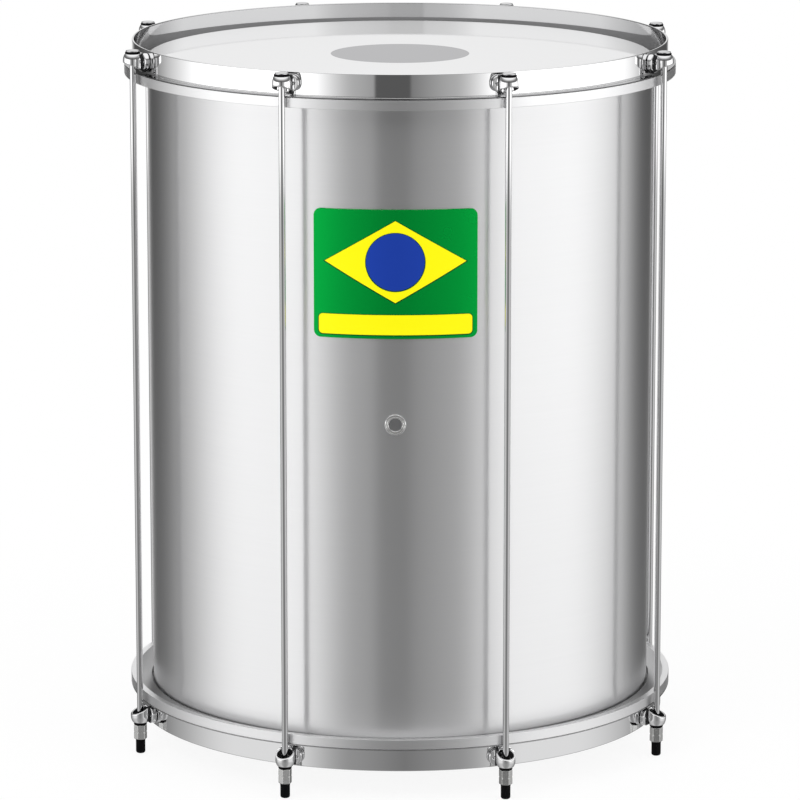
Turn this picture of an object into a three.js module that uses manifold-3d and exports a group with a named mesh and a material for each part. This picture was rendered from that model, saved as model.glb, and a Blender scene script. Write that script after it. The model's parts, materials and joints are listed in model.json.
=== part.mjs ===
// A surdo: a deep two-headed aluminium drum with full-length tension rods.
// Millimetres, +Z up. The drum stands on its rod caps at z = 0, centred on the Z axis.
// Angle 0 is the front of the drum, towards -Y.
import * as THREE from 'three';
import { mergeVertices } from 'three/addons/utils/BufferGeometryUtils.js';
import Module from 'manifold-3d';

// Driving dimensions of the drum
const shellOuterRadius = 218;
const shellLength = 559;
const shellWall = 1.5;
const bearingBevel = 1.8;
const shellLipWidth = 4.2;
const rodCount = 8;
const seatGap = 0.3;

// Drumheads: a film with a collar that ends in the groove of its flesh hoop
const filmThickness = 0.5;
const filmFootGap = 1;

// Flesh hoop: a channel that opens towards the counterhoop
const fleshHoopGap = 7;
const fleshHoopDrop = 5.2;
const fleshHoopHeight = 8.4;
const fleshInnerLip = 2.8;
const fleshGrooveWidth = 5.9;
const fleshOuterLip = 4;
const fleshWebThickness = 2.4;

// Counterhoop: an upright band with a flange at its foot
const hoopFilmGap = 0.4;
const hoopBandThickness = 2;
const hoopHeight = 20.5;
const hoopFlangeThickness = 1.1;
const hoopRimBevel = 0.5;

// Tension rods
const rodStandOff = 11.5;
const rodRadius = 2.65;
const rodHeadRadius = 5.75;
const rodHeadHeight = 1.8;
const rodHeadCrownRadius = 3.6;
const rodHeadCrownDrop = 0.5;
const threadRadius = 2.95;
const threadLength = 30;
const threadTail = 8;
const rodHoleClearance = 0.3;

// Claws: a hollow cup round the rod, a cross head on the band and a leg on the flange
const clawLength = 15.9;
const clawCupRadius = 8.25;
const clawCupEndRadius = 6.6;
const clawCupShoulder = 2.2;
const clawCupWall = 1.6;
const clawCupFloor = 2.2;
const clawCupFrontDepth = 7.4;
const clawHeadWidth = 24.5;
const clawHeadHeight = 14.2;
const clawHeadThickness = 5;
const clawHeadOverhang = 0.5;
const clawHeadCorner = 5.2;
const clawLegWidth = 8.5;
const clawLegThickness = 4.2;

// Washers, nuts and caps
const topWasherRadius = 6.4;
const topWasherThickness = 1.9;
const bottomWasherRadius = 5.7;
const bottomWasherThickness = 2.2;
const nutAcrossFlats = 10;
const nutLength = 12.8;
const nutChamfer = 0.5;
const capRadius = 4.2;
const capEndWall = 4.4;
const capTipFlatRadius = 2.2;
const capTipRound = 2.4;
const capTipMidShare = 0.3;

// Vent grommet and badge on the front of the shell
const ventRise = 0;
const ventBoreRadius = 5.2;
const ventTubeWall = 0.8;
const ventFlangeRadius = 9.1;
const ventInnerFlangeRadius = 8.4;
const ventFlangeThickness = 1;
const badgeRise = 126.9;
const badgeArcWidth = 137;
const badgeHeight = 108.2;
const badgeThickness = 0.9;
const badgeCorner = 6;

// Facets
const ringFacets = 56;
const cupFacets = 14;
const rodFacets = 10;
const nutFacets = 12;
const ventFacets = 14;
const cornerFacets = 3;
const cutOverrun = 2;

// Radii worked out from the driving dimensions
const shellInnerRadius = shellOuterRadius - shellWall;
const fleshInnerRadius = shellOuterRadius + fleshHoopGap;
const grooveInnerRadius = fleshInnerRadius + fleshInnerLip;
const grooveOuterRadius = grooveInnerRadius + fleshGrooveWidth;
const fleshOuterRadius = grooveOuterRadius + fleshOuterLip;
const collarInnerRadius = grooveInnerRadius + seatGap;
const collarOuterRadius = collarInnerRadius + filmThickness;
const bandInnerRadius = collarOuterRadius + hoopFilmGap;
const bandOuterRadius = bandInnerRadius + hoopBandThickness;
const rodCircleRadius = bandOuterRadius + rodStandOff;
const rodBoreRadius = threadRadius + rodHoleClearance;

// Heights from the middle of the drum, the same at both ends
const shellEnd = shellLength / 2;
const filmInside = shellEnd + seatGap;
const filmOutside = filmInside + filmThickness;
const fleshHoopTop = shellEnd - fleshHoopDrop;
const fleshHoopFoot = fleshHoopTop - fleshHoopHeight;
const grooveFloor = fleshHoopFoot + fleshWebThickness;
const flangeInside = fleshHoopTop + seatGap;
const flangeOutside = flangeInside + hoopFlangeThickness;
const hoopRim = flangeInside + hoopHeight;
const clawFoot = flangeOutside + seatGap;
const clawEnd = clawFoot + clawLength;
const topWasherFoot = clawEnd + seatGap;
const rodHeadFoot = topWasherFoot + topWasherThickness;
const bottomWasherEnd = clawEnd + seatGap + bottomWasherThickness;
const nutFoot = bottomWasherEnd + seatGap;
const nutEnd = nutFoot + nutLength;
const rodEnd = nutEnd + threadTail;
const capMouth = nutEnd + seatGap;
const capTip = rodEnd + seatGap + capEndWall;

const chrome = new THREE.MeshStandardMaterial({ color: 0xd9dbde, roughness: 0.08, metalness: 1 });
const aluminium = new THREE.MeshStandardMaterial({ color: 0xc6c7ca, roughness: 0.34, metalness: 1 });
const satinSteel = new THREE.MeshStandardMaterial({ color: 0xb4b4b2, roughness: 0.4, metalness: 1 });
const headFilm = new THREE.MeshStandardMaterial({ color: 0xeef0f0, roughness: 0.16, metalness: 0 });
const blackPlastic = new THREE.MeshStandardMaterial({ color: 0x17181a, roughness: 0.5, metalness: 0 });
const blackRubber = new THREE.MeshStandardMaterial({ color: 0x121214, roughness: 0.75, metalness: 0 });
const badgeGreen = new THREE.MeshStandardMaterial({ color: 0x0f8a43, roughness: 0.3, metalness: 0 });

const wasm = await Module();
wasm.setup();

// Keeps positions only, joins equal corners and drops triangles of no area
function closedGeometry(geometry) {
  const bare = new THREE.BufferGeometry();
  bare.setAttribute('position', geometry.getAttribute('position').clone());
  if (geometry.index) bare.setIndex(geometry.index.clone());
  const merged = mergeVertices(bare);
  const kept = [];
  const index = merged.index.array;
  for (let i = 0; i < index.length; i += 3) {
    const [a, b, c] = [index[i], index[i + 1], index[i + 2]];
    if (a !== b && b !== c && c !== a) kept.push(a, b, c);
  }
  merged.setIndex(kept);
  return merged;
}

function toSolid(geometry) {
  const closed = closedGeometry(geometry);
  const mesh = new wasm.Mesh({
    numProp: 3,
    vertProperties: new Float32Array(closed.getAttribute('position').array),
    triVerts: new Uint32Array(closed.index.array),
  });
  return new wasm.Manifold(mesh);
}

function toGeometry(solid) {
  const mesh = solid.getMesh();
  const geometry = new THREE.BufferGeometry();
  geometry.setAttribute('position', new THREE.BufferAttribute(new Float32Array(mesh.vertProperties), 3));
  geometry.setIndex(new THREE.BufferAttribute(new Uint32Array(mesh.triVerts), 1));
  return geometry;
}

// Turns an outline of [radius, height] corners about the Z axis.
// The outline runs anticlockwise with the radius to the right and the height up.
function revolve(outline, facets) {
  const corners = outline.map(([radius, height]) => new THREE.Vector2(radius, height));
  const last = corners[corners.length - 1];
  const onAxis = corners[0].x === 0 && last.x === 0;
  if (!onAxis) corners.push(corners[0].clone());
  const geometry = new THREE.LatheGeometry(corners, facets);
  geometry.rotateX(Math.PI / 2);
  return closedGeometry(geometry);
}

// Turns an outline upside down and keeps its corners anticlockwise
function flipped(outline) {
  return outline.map(([radius, height]) => [radius, -height]).reverse();
}

function extrude(shape, depth) {
  return new THREE.ExtrudeGeometry(shape, { depth, bevelEnabled: false, curveSegments: cornerFacets });
}

function roundedRectangle(width, height, corner) {
  const shape = new THREE.Shape();
  const x = width / 2 - corner;
  const y = height / 2 - corner;
  shape.absarc(x, y, corner, 0, Math.PI / 2, false);
  shape.absarc(-x, y, corner, Math.PI / 2, Math.PI, false);
  shape.absarc(-x, -y, corner, Math.PI, 1.5 * Math.PI, false);
  shape.absarc(x, -y, corner, 1.5 * Math.PI, 2 * Math.PI, false);
  shape.closePath();
  return shape;
}

function cylinder(radius, from, to, facets) {
  return revolve([[0, from], [radius, from], [radius, to], [0, to]], facets);
}

// Shell: one rolled sheet with bevelled bearing edges and lips turned inwards, and a vent hole
function shellGeometry() {
  const lipRadius = shellInnerRadius - shellLipWidth;
  const lipInside = shellEnd - shellWall;
  const end = [
    [shellOuterRadius, shellEnd - bearingBevel],
    [shellOuterRadius - bearingBevel, shellEnd],
    [lipRadius, shellEnd],
    [lipRadius, lipInside],
    [shellInnerRadius, lipInside],
  ];
  const tube = toSolid(revolve([...end, ...flipped(end)], ringFacets));
  const holeRadius = ventBoreRadius + ventTubeWall + seatGap;
  const hole = cylinder(holeRadius, shellInnerRadius - shellLipWidth, shellOuterRadius + cutOverrun, ventFacets);
  hole.rotateX(Math.PI / 2);
  hole.translate(0, 0, ventRise);
  return toGeometry(tube.subtract(toSolid(hole)));
}

// Vent grommet: an eyelet whose two flanges clinch the wall, made along +Z and then turned to the front.
// The inner flange stays clear of the flat facets inside the shell.
function ventGrommetGeometry() {
  const tubeRadius = ventBoreRadius + ventTubeWall;
  const facetDrop = ventInnerFlangeRadius * Math.tan(Math.PI / ringFacets);
  const outerSeat = shellOuterRadius + seatGap;
  const innerSeat = shellInnerRadius - facetDrop - seatGap;
  const geometry = revolve([
    [ventBoreRadius, innerSeat - ventFlangeThickness],
    [ventInnerFlangeRadius, innerSeat - ventFlangeThickness],
    [ventInnerFlangeRadius, innerSeat],
    [tubeRadius, innerSeat],
    [tubeRadius, outerSeat],
    [ventFlangeRadius, outerSeat],
    [ventFlangeRadius - ventFlangeThickness / 2, outerSeat + ventFlangeThickness],
    [ventBoreRadius, outerSeat + ventFlangeThickness],
  ], ventFacets);
  geometry.rotateX(Math.PI / 2);
  geometry.translate(0, 0, ventRise);
  return geometry;
}

// Badge: a thin plate with rounded corners, curved to lie on the shell
function badgeGeometry() {
  const inside = shellOuterRadius + seatGap;
  const outside = inside + badgeThickness;
  const low = badgeRise - badgeHeight / 2 - cutOverrun;
  const high = badgeRise + badgeHeight / 2 + cutOverrun;
  const sleeve = toSolid(revolve([[inside, low], [outside, low], [outside, high], [inside, high]], ringFacets));
  const chordWidth = 2 * outside * Math.sin(badgeArcWidth / (2 * outside));
  const window = extrude(roundedRectangle(chordWidth, badgeHeight, badgeCorner), outside + cutOverrun);
  window.rotateX(Math.PI / 2);
  window.translate(0, 0, badgeRise);
  return toGeometry(sleeve.intersect(toSolid(window)));
}

// Drumhead: flat film and a collar that slopes from the bearing edge, over the flesh hoop's inner lip,
// to the groove, and stands upright in it
function headOutline() {
  const edgeRadius = shellOuterRadius - bearingBevel + seatGap;
  const collarFoot = grooveFloor + filmFootGap;
  const collarBend = fleshHoopTop + seatGap;
  return [
    [0, filmInside],
    [edgeRadius, filmInside],
    [collarInnerRadius, collarBend],
    [collarInnerRadius, collarFoot],
    [collarOuterRadius, collarFoot],
    [collarOuterRadius, collarBend + filmThickness / 2],
    [edgeRadius + filmThickness / 2, filmOutside],
    [0, filmOutside],
  ];
}

function fleshHoopOutline() {
  return [
    [fleshInnerRadius, fleshHoopFoot],
    [fleshOuterRadius, fleshHoopFoot],
    [fleshOuterRadius, fleshHoopTop],
    [grooveOuterRadius, fleshHoopTop],
    [grooveOuterRadius, grooveFloor],
    [grooveInnerRadius, grooveFloor],
    [grooveInnerRadius, fleshHoopTop],
    [fleshInnerRadius, fleshHoopTop],
  ];
}

function hoopOutline() {
  return [
    [bandInnerRadius, flangeInside],
    [fleshOuterRadius, flangeInside],
    [fleshOuterRadius, flangeOutside],
    [bandOuterRadius, flangeOutside],
    [bandOuterRadius, hoopRim - hoopRimBevel],
    [bandOuterRadius - hoopRimBevel, hoopRim],
    [bandInnerRadius, hoopRim],
  ];
}

// Tension rod: a low domed head in one with the washer under it, a plain shank and a rolled thread
// at the far end
function rodGeometry() {
  const headTop = rodHeadFoot + rodHeadHeight;
  const threadTop = threadLength - rodEnd;
  return revolve([
    [0, -rodEnd],
    [threadRadius, -rodEnd],
    [threadRadius, threadTop],
    [rodRadius, threadTop],
    [rodRadius, topWasherFoot],
    [topWasherRadius, topWasherFoot],
    [topWasherRadius, rodHeadFoot],
    [rodHeadRadius, rodHeadFoot],
    [rodHeadCrownRadius, headTop - rodHeadCrownDrop],
    [0, headTop],
  ], rodFacets);
}

// Claw casting, with the rod on the Z axis, its end face at z = 0 and the drum towards -X.
// The cup's mouth is cut on a slant, so it rises from the front of the cup to the cross head.
function clawGeometry() {
  const back = seatGap - rodStandOff;
  const face = back + clawHeadThickness;
  const headTop = clawHeadHeight - clawHeadOverhang;
  const cupOuter = toSolid(revolve([
    [0, 0],
    [clawCupEndRadius, 0],
    [clawCupRadius, clawCupShoulder],
    [clawCupRadius, headTop],
    [0, headTop],
  ], cupFacets));
  const cavity = toSolid(cylinder(clawCupRadius - clawCupWall, clawCupFloor, headTop + cutOverrun, cupFacets));

  const slope = (headTop - clawCupFrontDepth) / (clawCupRadius - face);
  const overrun = clawCupRadius + cutOverrun;
  const mouth = new THREE.Shape();
  mouth.moveTo(face, headTop);
  mouth.lineTo(overrun, headTop - slope * (overrun - face));
  mouth.lineTo(overrun, headTop + cutOverrun);
  mouth.lineTo(face, headTop + cutOverrun);
  mouth.closePath();
  const mouthCut = extrude(mouth, 2 * overrun);
  mouthCut.rotateX(Math.PI / 2);
  mouthCut.translate(0, overrun, 0);

  const bandCut = new THREE.BoxGeometry(overrun, 2 * overrun, clawLength + 2 * cutOverrun);
  bandCut.translate(back - overrun / 2, 0, clawLength / 2);

  const crossHead = extrude(roundedRectangle(clawHeadWidth, clawHeadHeight, clawHeadCorner), clawHeadThickness);
  crossHead.rotateX(Math.PI / 2);
  crossHead.rotateZ(Math.PI / 2);
  crossHead.translate(back, 0, headTop - clawHeadHeight / 2);

  const legFrom = headTop - clawHeadHeight / 2;
  const leg = new THREE.BoxGeometry(clawLegThickness, clawLegWidth, clawLength - legFrom);
  leg.translate(back + clawLegThickness / 2, 0, (clawLength + legFrom) / 2);

  const bore = toSolid(cylinder(rodBoreRadius, -cutOverrun, clawLength + cutOverrun, rodFacets));
  const cup = cupOuter.subtract(cavity).subtract(toSolid(mouthCut)).subtract(toSolid(bandCut));
  return toGeometry(cup.add(toSolid(crossHead)).add(toSolid(leg)).subtract(bore));
}

function washerGeometry() {
  return revolve([
    [rodBoreRadius, 0],
    [bottomWasherRadius, 0],
    [bottomWasherRadius, bottomWasherThickness],
    [rodBoreRadius, bottomWasherThickness],
  ], rodFacets);
}

// Tuning nut: a long hexagon with chamfered corners at both ends
function nutGeometry() {
  const cornerRadius = nutAcrossFlats / Math.sqrt(3);
  const blank = toSolid(cylinder(cornerRadius, 0, nutLength, 6));
  const chamfered = toSolid(revolve([
    [0, 0],
    [cornerRadius - nutChamfer, 0],
    [cornerRadius, nutChamfer],
    [cornerRadius, nutLength - nutChamfer],
    [cornerRadius - nutChamfer, nutLength],
    [0, nutLength],
  ], nutFacets));
  const bore = toSolid(cylinder(rodBoreRadius, -cutOverrun, nutLength + cutOverrun, rodFacets));
  return toGeometry(blank.intersect(chamfered).subtract(bore));
}

// Rubber cap: a sleeve over the end of the thread, with its tip down at z = 0
function capGeometry() {
  const mouth = capTip - capMouth;
  return revolve([
    [0, 0],
    [capTipFlatRadius, 0],
    [capRadius - capTipRound * capTipMidShare, capTipRound * capTipMidShare],
    [capRadius, capTipRound],
    [capRadius, mouth],
    [rodBoreRadius, mouth],
    [rodBoreRadius, capEndWall],
    [0, capEndWall],
  ], rodFacets);
}

function piece(name, geometry, material) {
  const mesh = new THREE.Mesh(geometry, material);
  mesh.name = name;
  return mesh;
}

// Everything is placed from the middle of the drum, which is lifted so that the caps stand on z = 0
const surdo = new THREE.Group();
const drum = new THREE.Group();
drum.position.z = capTip;
surdo.add(drum);

drum.add(piece('shell', shellGeometry(), aluminium));
drum.add(piece('vent_grommet', ventGrommetGeometry(), satinSteel));
drum.add(piece('badge', badgeGeometry(), badgeGreen));
drum.add(piece('top_head', revolve(headOutline(), ringFacets), headFilm));
drum.add(piece('bottom_head', revolve(flipped(headOutline()), ringFacets), headFilm));
drum.add(piece('top_flesh_hoop', revolve(fleshHoopOutline(), ringFacets), aluminium));
drum.add(piece('bottom_flesh_hoop', revolve(flipped(fleshHoopOutline()), ringFacets), aluminium));
drum.add(piece('top_hoop', revolve(hoopOutline(), ringFacets), chrome));
drum.add(piece('bottom_hoop', revolve(flipped(hoopOutline()), ringFacets), chrome));

const claw = clawGeometry();
const rod = rodGeometry();
const nut = nutGeometry();
const cap = capGeometry();
const washer = washerGeometry();

// Places a mesh on the rod's axis, at a height from the middle of the drum
function onRod(mesh, height) {
  mesh.position.set(rodCircleRadius, 0, height);
  return mesh;
}

// Stations run anticlockwise seen from above, and the front lies midway between the last and the first
for (let station = 1; station <= rodCount; station += 1) {
  const angle = -Math.PI / 2 + ((station - 0.5) * 2 * Math.PI) / rodCount;
  const spoke = new THREE.Group();
  spoke.rotation.z = angle;
  spoke.add(onRod(piece(`tension_rod_${station}`, rod, chrome), 0));

  const topClaw = onRod(piece(`top_claw_${station}`, claw, chrome), clawEnd);
  topClaw.rotation.x = Math.PI;
  spoke.add(topClaw);
  spoke.add(onRod(piece(`bottom_claw_${station}`, claw, chrome), -clawEnd));

  spoke.add(onRod(piece(`bottom_washer_${station}`, washer, blackPlastic), -bottomWasherEnd));
  spoke.add(onRod(piece(`tuning_nut_${station}`, nut, satinSteel), -nutEnd));
  spoke.add(onRod(piece(`rubber_cap_${station}`, cap, blackRubber), -capTip));
  drum.add(spoke);
}

surdo.updateMatrixWorld(true);
export default surdo;
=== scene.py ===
"""Looks of a surdo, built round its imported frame.

Metres, +Z up. The drum stands on its rod caps at z = 0, centred on the Z axis, with its front towards -Y.
"""
from __future__ import annotations

import json
import logging
import math
from collections.abc import Callable, Sequence
from dataclasses import dataclass
from enum import Enum

import bmesh
import bpy
import numpy as np
from mathutils import Matrix, Vector

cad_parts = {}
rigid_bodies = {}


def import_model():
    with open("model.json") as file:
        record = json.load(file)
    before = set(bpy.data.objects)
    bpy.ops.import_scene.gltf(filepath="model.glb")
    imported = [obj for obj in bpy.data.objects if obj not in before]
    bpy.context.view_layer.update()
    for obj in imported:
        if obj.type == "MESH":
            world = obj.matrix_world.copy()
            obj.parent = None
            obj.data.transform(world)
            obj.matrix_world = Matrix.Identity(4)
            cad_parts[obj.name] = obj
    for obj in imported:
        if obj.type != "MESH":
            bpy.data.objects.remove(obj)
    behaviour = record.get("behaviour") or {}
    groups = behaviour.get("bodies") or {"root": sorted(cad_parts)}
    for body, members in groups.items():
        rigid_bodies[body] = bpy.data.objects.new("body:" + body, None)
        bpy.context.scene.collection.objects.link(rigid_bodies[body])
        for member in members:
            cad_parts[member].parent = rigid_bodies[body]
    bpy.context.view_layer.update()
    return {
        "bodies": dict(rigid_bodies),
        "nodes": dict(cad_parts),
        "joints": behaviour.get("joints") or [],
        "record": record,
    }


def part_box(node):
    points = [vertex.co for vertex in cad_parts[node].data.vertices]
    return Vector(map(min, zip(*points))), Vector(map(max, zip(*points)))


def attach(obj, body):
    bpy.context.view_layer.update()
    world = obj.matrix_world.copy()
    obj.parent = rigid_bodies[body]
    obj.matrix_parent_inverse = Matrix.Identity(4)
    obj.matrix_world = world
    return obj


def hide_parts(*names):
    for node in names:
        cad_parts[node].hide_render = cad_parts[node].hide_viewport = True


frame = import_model()

log = logging.getLogger("surdo")
ROOT = "root"
# Name of the face attribute that marks where a claw gets painted shade.
SHADED_FACES = "inside"
MM = 0.001
# Facets round a small turned piece.
SMALL_SEGMENTS = 48
# The rounding of a thin edge is one part in this many of its thickness.
EDGE_PARTS = 3
SHARP_ANGLE = math.radians(35)
# Settings of Blender: a quarter turn of the gloss, a round bevel and flat faces that rule the shading.
QUARTER_TURN = 0.25
ROUND_PROFILE = 0.5
FULL_WEIGHT = 100
TO_FRONT = Matrix.Rotation(math.pi / 2, 4, "X")
UPSIDE_DOWN = Matrix.Rotation(math.pi, 4, "X")
Node = bpy.types.Node
NodeTree = bpy.types.NodeTree
Socket = bpy.types.NodeSocket
Mesh = bpy.types.Mesh
Array = np.ndarray
Colour = tuple[float, float, float]
Distance = Callable[[Array], Array]


class End(Enum):
    """The two ends of the drum, with what their pieces and their nodes are called."""

    TOP = ("upper", "top")
    BOTTOM = ("lower", "bottom")


class Mix(Enum):
    """What a Mix node mixes, with the places of its inputs and of its output."""

    NUMBERS = ("FLOAT", (0, 2, 3), 0)
    COLOURS = ("RGBA", (0, 6, 7), 2)


class GroupKind(Enum):
    """The kinds of node group, with the kind of their tree and of their output."""

    SHADER = ("ShaderNodeTree", "Float")
    GEOMETRY = ("GeometryNodeTree", "Geometry")


class Slot(Enum):
    """The record's material slots."""

    SHELL = "shell_aluminium"
    FLESH_HOOP = "flesh_hoop_aluminium"
    HOOP = "hoop_chrome"
    ROD = "rod_chrome"
    CLAW = "claw_chrome"
    STEEL = "satin_steel"
    FILM = "head_film"
    WASHER = "black_washer"
    CAP = "cap_rubber"
    BADGE = "badge_enamel"


@dataclass(frozen=True)
class Bench:
    """Adds and links the nodes of one tree."""

    tree: NodeTree

    def feed(self, socket: Socket, value: object) -> None:
        """Links a socket to another one, or sets its value.

        Args:
            socket: The input to feed.
            value: An output socket, or a plain value.
        """
        if isinstance(value, Socket):
            self.tree.links.new(value, socket)
        else:
            socket.default_value = value

    def add(self, kind: str, inputs: dict[str, object] | None = None, **settings: object) -> Node:
        """Adds a node.

        Args:
            kind: The node's type name.
            inputs: Values or sockets for its inputs, by name.
            **settings: Its other properties.

        Returns:
            The node.
        """
        node = self.tree.nodes.new(kind)
        for name, value in settings.items():
            setattr(node, name, value)
        for name, value in (inputs or {}).items():
            self.feed(node.inputs[name], value)
        return node

    def math(self, operation: str, *values: object) -> Socket:
        """Adds a Math node and returns its output.

        Args:
            operation: The operation's name.
            *values: Its operands, in order.

        Returns:
            The result's socket.
        """
        node = self.add("ShaderNodeMath", operation=operation)
        for socket, value in zip(node.inputs, values):
            self.feed(socket, value)
        return node.outputs[0]

    def step(self, value: Socket, low: object, high: object) -> Socket:
        """Adds a smooth step that climbs from 0 at low to 1 at high.

        Args:
            value: The number to test.
            low: Where the step starts.
            high: Where it ends.

        Returns:
            The step's socket.
        """
        node = self.add("ShaderNodeMapRange", interpolation_type="SMOOTHSTEP")
        for name, fed in (("Value", value), ("From Min", low), ("From Max", high)):
            self.feed(node.inputs[name], fed)
        return node.outputs["Result"]

    def blend(self, factor: object, low: object, high: object, mix: Mix = Mix.NUMBERS) -> Socket:
        """Adds a mix of two numbers or two colours.

        Args:
            factor: The share of the second one.
            low: The one at 0.
            high: The one at 1.
            mix: What it mixes.

        Returns:
            The mixed value's socket.
        """
        kind, places, output = mix.value
        node = self.add("ShaderNodeMix", data_type=kind)
        for index, fed in zip(places, (factor, low, high)):
            self.feed(node.inputs[index], fed)
        return node.outputs[output]

    def tint(self, factor: object, low: object, high: object) -> Socket:
        """Adds a mix of two colours."""
        return self.blend(factor, low, high, Mix.COLOURS)


def opaque(colour: Colour) -> tuple[float, float, float, float]:
    """Returns a colour with full alpha."""
    return (*colour, 1.0)


def node_group(kind: GroupKind, name: str, inputs: dict[str, str], output: str,
               build: Callable[[Bench, Node], Socket]) -> NodeTree:
    """Builds a node group once and returns it.

    Args:
        kind: Its kind.
        name: Its name.
        inputs: Its inputs, by name, with the kind of each.
        output: Its output.
        build: Fills the group, given its bench and input node, and returns what its output puts out.

    Returns:
        The node group.
    """
    found = bpy.data.node_groups.get(name)
    if found:
        return found
    tree_kind, output_kind = kind.value
    tree = bpy.data.node_groups.new(name, tree_kind)
    for label, input_kind in inputs.items():
        tree.interface.new_socket(label, in_out="INPUT", socket_type=f"NodeSocket{input_kind}")
    tree.interface.new_socket(output, in_out="OUTPUT", socket_type=f"NodeSocket{output_kind}")
    bench = Bench(tree)
    made = build(bench, bench.add("NodeGroupInput"))
    bench.add("NodeGroupOutput", {output: made})
    return tree


def drawn_lines_group() -> NodeTree:
    """Builds the fine lines that polishing leaves round a turned or rolled piece.

    Returns:
        The group, whose Lines output runs from 0 to 1.
    """
    detail, roughness = 3.0, 0.6

    def build(bench: Bench, given: Node) -> Socket:
        """Makes a noise that is stretched round the Z axis.

        Args:
            bench: The group's bench.
            given: Its input node.

        Returns:
            The noise's socket.
        """
        place = bench.add("ShaderNodeTexCoord").outputs["Object"]
        scale = bench.add("ShaderNodeCombineXYZ", {
            "X": given.outputs["Around"], "Y": given.outputs["Around"], "Z": given.outputs["Along"]})
        stretched = bench.add("ShaderNodeMapping", {"Vector": place, "Scale": scale.outputs[0]})
        return bench.add("ShaderNodeTexNoise", {
            "Vector": stretched.outputs[0], "Scale": 1.0, "Detail": detail,
            "Roughness": roughness}).outputs["Fac"]

    return node_group(GroupKind.SHADER, "drawn lines", {"Around": "Float", "Along": "Float"}, "Lines", build)


def handling_group() -> NodeTree:
    """Builds the soft clouds that handling leaves in a gloss.

    Returns:
        The group, whose Clouds output runs from 0 to 1.
    """
    detail, roughness = 4.0, 0.55

    def build(bench: Bench, given: Node) -> Socket:
        """Makes a slow noise.

        Args:
            bench: The group's bench.
            given: Its input node.

        Returns:
            The noise's socket.
        """
        place = bench.add("ShaderNodeTexCoord").outputs["Object"]
        return bench.add("ShaderNodeTexNoise", {
            "Vector": place, "Scale": given.outputs["Scale"], "Detail": detail,
            "Roughness": roughness}).outputs["Fac"]

    return node_group(GroupKind.SHADER, "handling clouds", {"Scale": "Float"}, "Clouds", build)


def axis_distance(bench: Bench) -> Socket:
    """Works out how far a place is from the axis of the drum.

    Args:
        bench: The material's bench.

    Returns:
        The distance's socket, in metres.
    """
    place = bench.add("ShaderNodeTexCoord").outputs["Object"]
    parts = bench.add("ShaderNodeSeparateXYZ", {"Vector": place})
    flat = bench.add("ShaderNodeCombineXYZ", {"X": parts.outputs["X"], "Y": parts.outputs["Y"]})
    return bench.add("ShaderNodeVectorMath", {0: flat.outputs[0]}, operation="LENGTH").outputs["Value"]


@dataclass(frozen=True)
class Finish:
    """A surface finish with a little life in its gloss and its relief.

    Attributes:
        name: The material's name.
        colour: Its colour.
        metallic: How much of it is bare metal, from 0 to 1.
        roughness: Its lowest roughness.
        drift: How much the handling clouds add to the roughness.
        cloud_scale: How fine the clouds are, per metre.
        line_depth: The depth of the polishing lines, in metres.
        line_shade: How much the lines darken the colour.
        line_around: How fine the lines are across the drum, per metre.
        line_along: How fine they are up the drum, per metre.
        anisotropy: How far the lines stretch the gloss across them.
        specular: The strength of a dull surface's gloss.
    """

    name: str
    colour: Colour
    metallic: float = 1.0
    roughness: float = 0.05
    drift: float = 0.02
    cloud_scale: float = 14.0
    line_depth: float = 0.0
    line_shade: float = 0.0
    line_around: float = 9.0
    line_along: float = 2500.0
    anisotropy: float = 0.0
    specular: float = 0.5

    def build(self) -> bpy.types.Material:
        """Builds the material.

        Returns:
            The material, made once.
        """
        found = bpy.data.materials.get(self.name)
        if found:
            return found
        material = bpy.data.materials.new(self.name)
        material.use_nodes = True
        bench = Bench(material.node_tree)
        shader = material.node_tree.nodes["Principled BSDF"]
        shader.inputs["Metallic"].default_value = self.metallic
        shader.inputs["Specular IOR Level"].default_value = self.specular
        clouds = bench.add("ShaderNodeGroup", node_tree=handling_group())
        clouds.inputs["Scale"].default_value = self.cloud_scale
        rough = bench.math("MULTIPLY_ADD", clouds.outputs["Clouds"], self.drift, self.roughness)
        bench.feed(shader.inputs["Roughness"], rough)
        self.paint(bench, shader)
        if self.anisotropy:
            shader.inputs["Anisotropic"].default_value = self.anisotropy
            shader.inputs["Anisotropic Rotation"].default_value = QUARTER_TURN
            round_axis = bench.add("ShaderNodeTangent", direction_type="RADIAL", axis="Z")
            bench.feed(shader.inputs["Tangent"], round_axis.outputs[0])
        return material

    def paint(self, bench: Bench, shader: Node) -> None:
        """Colours the surface, with its polishing lines where it has them.

        Args:
            bench: The material's bench.
            shader: Its Principled BSDF.
        """
        if not self.line_depth:
            shader.inputs["Base Color"].default_value = opaque(self.colour)
            return
        lines = bench.add("ShaderNodeGroup", node_tree=drawn_lines_group())
        lines.inputs["Around"].default_value = self.line_around
        lines.inputs["Along"].default_value = self.line_along
        shaded = tuple(c * (1 - self.line_shade) for c in self.colour)
        colour = bench.tint(lines.outputs["Lines"], opaque(shaded), opaque(self.colour))
        bench.feed(shader.inputs["Base Color"], colour)
        relief = bench.add("ShaderNodeBump", {"Height": lines.outputs["Lines"], "Distance": self.line_depth})
        bench.feed(shader.inputs["Normal"], relief.outputs[0])


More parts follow.
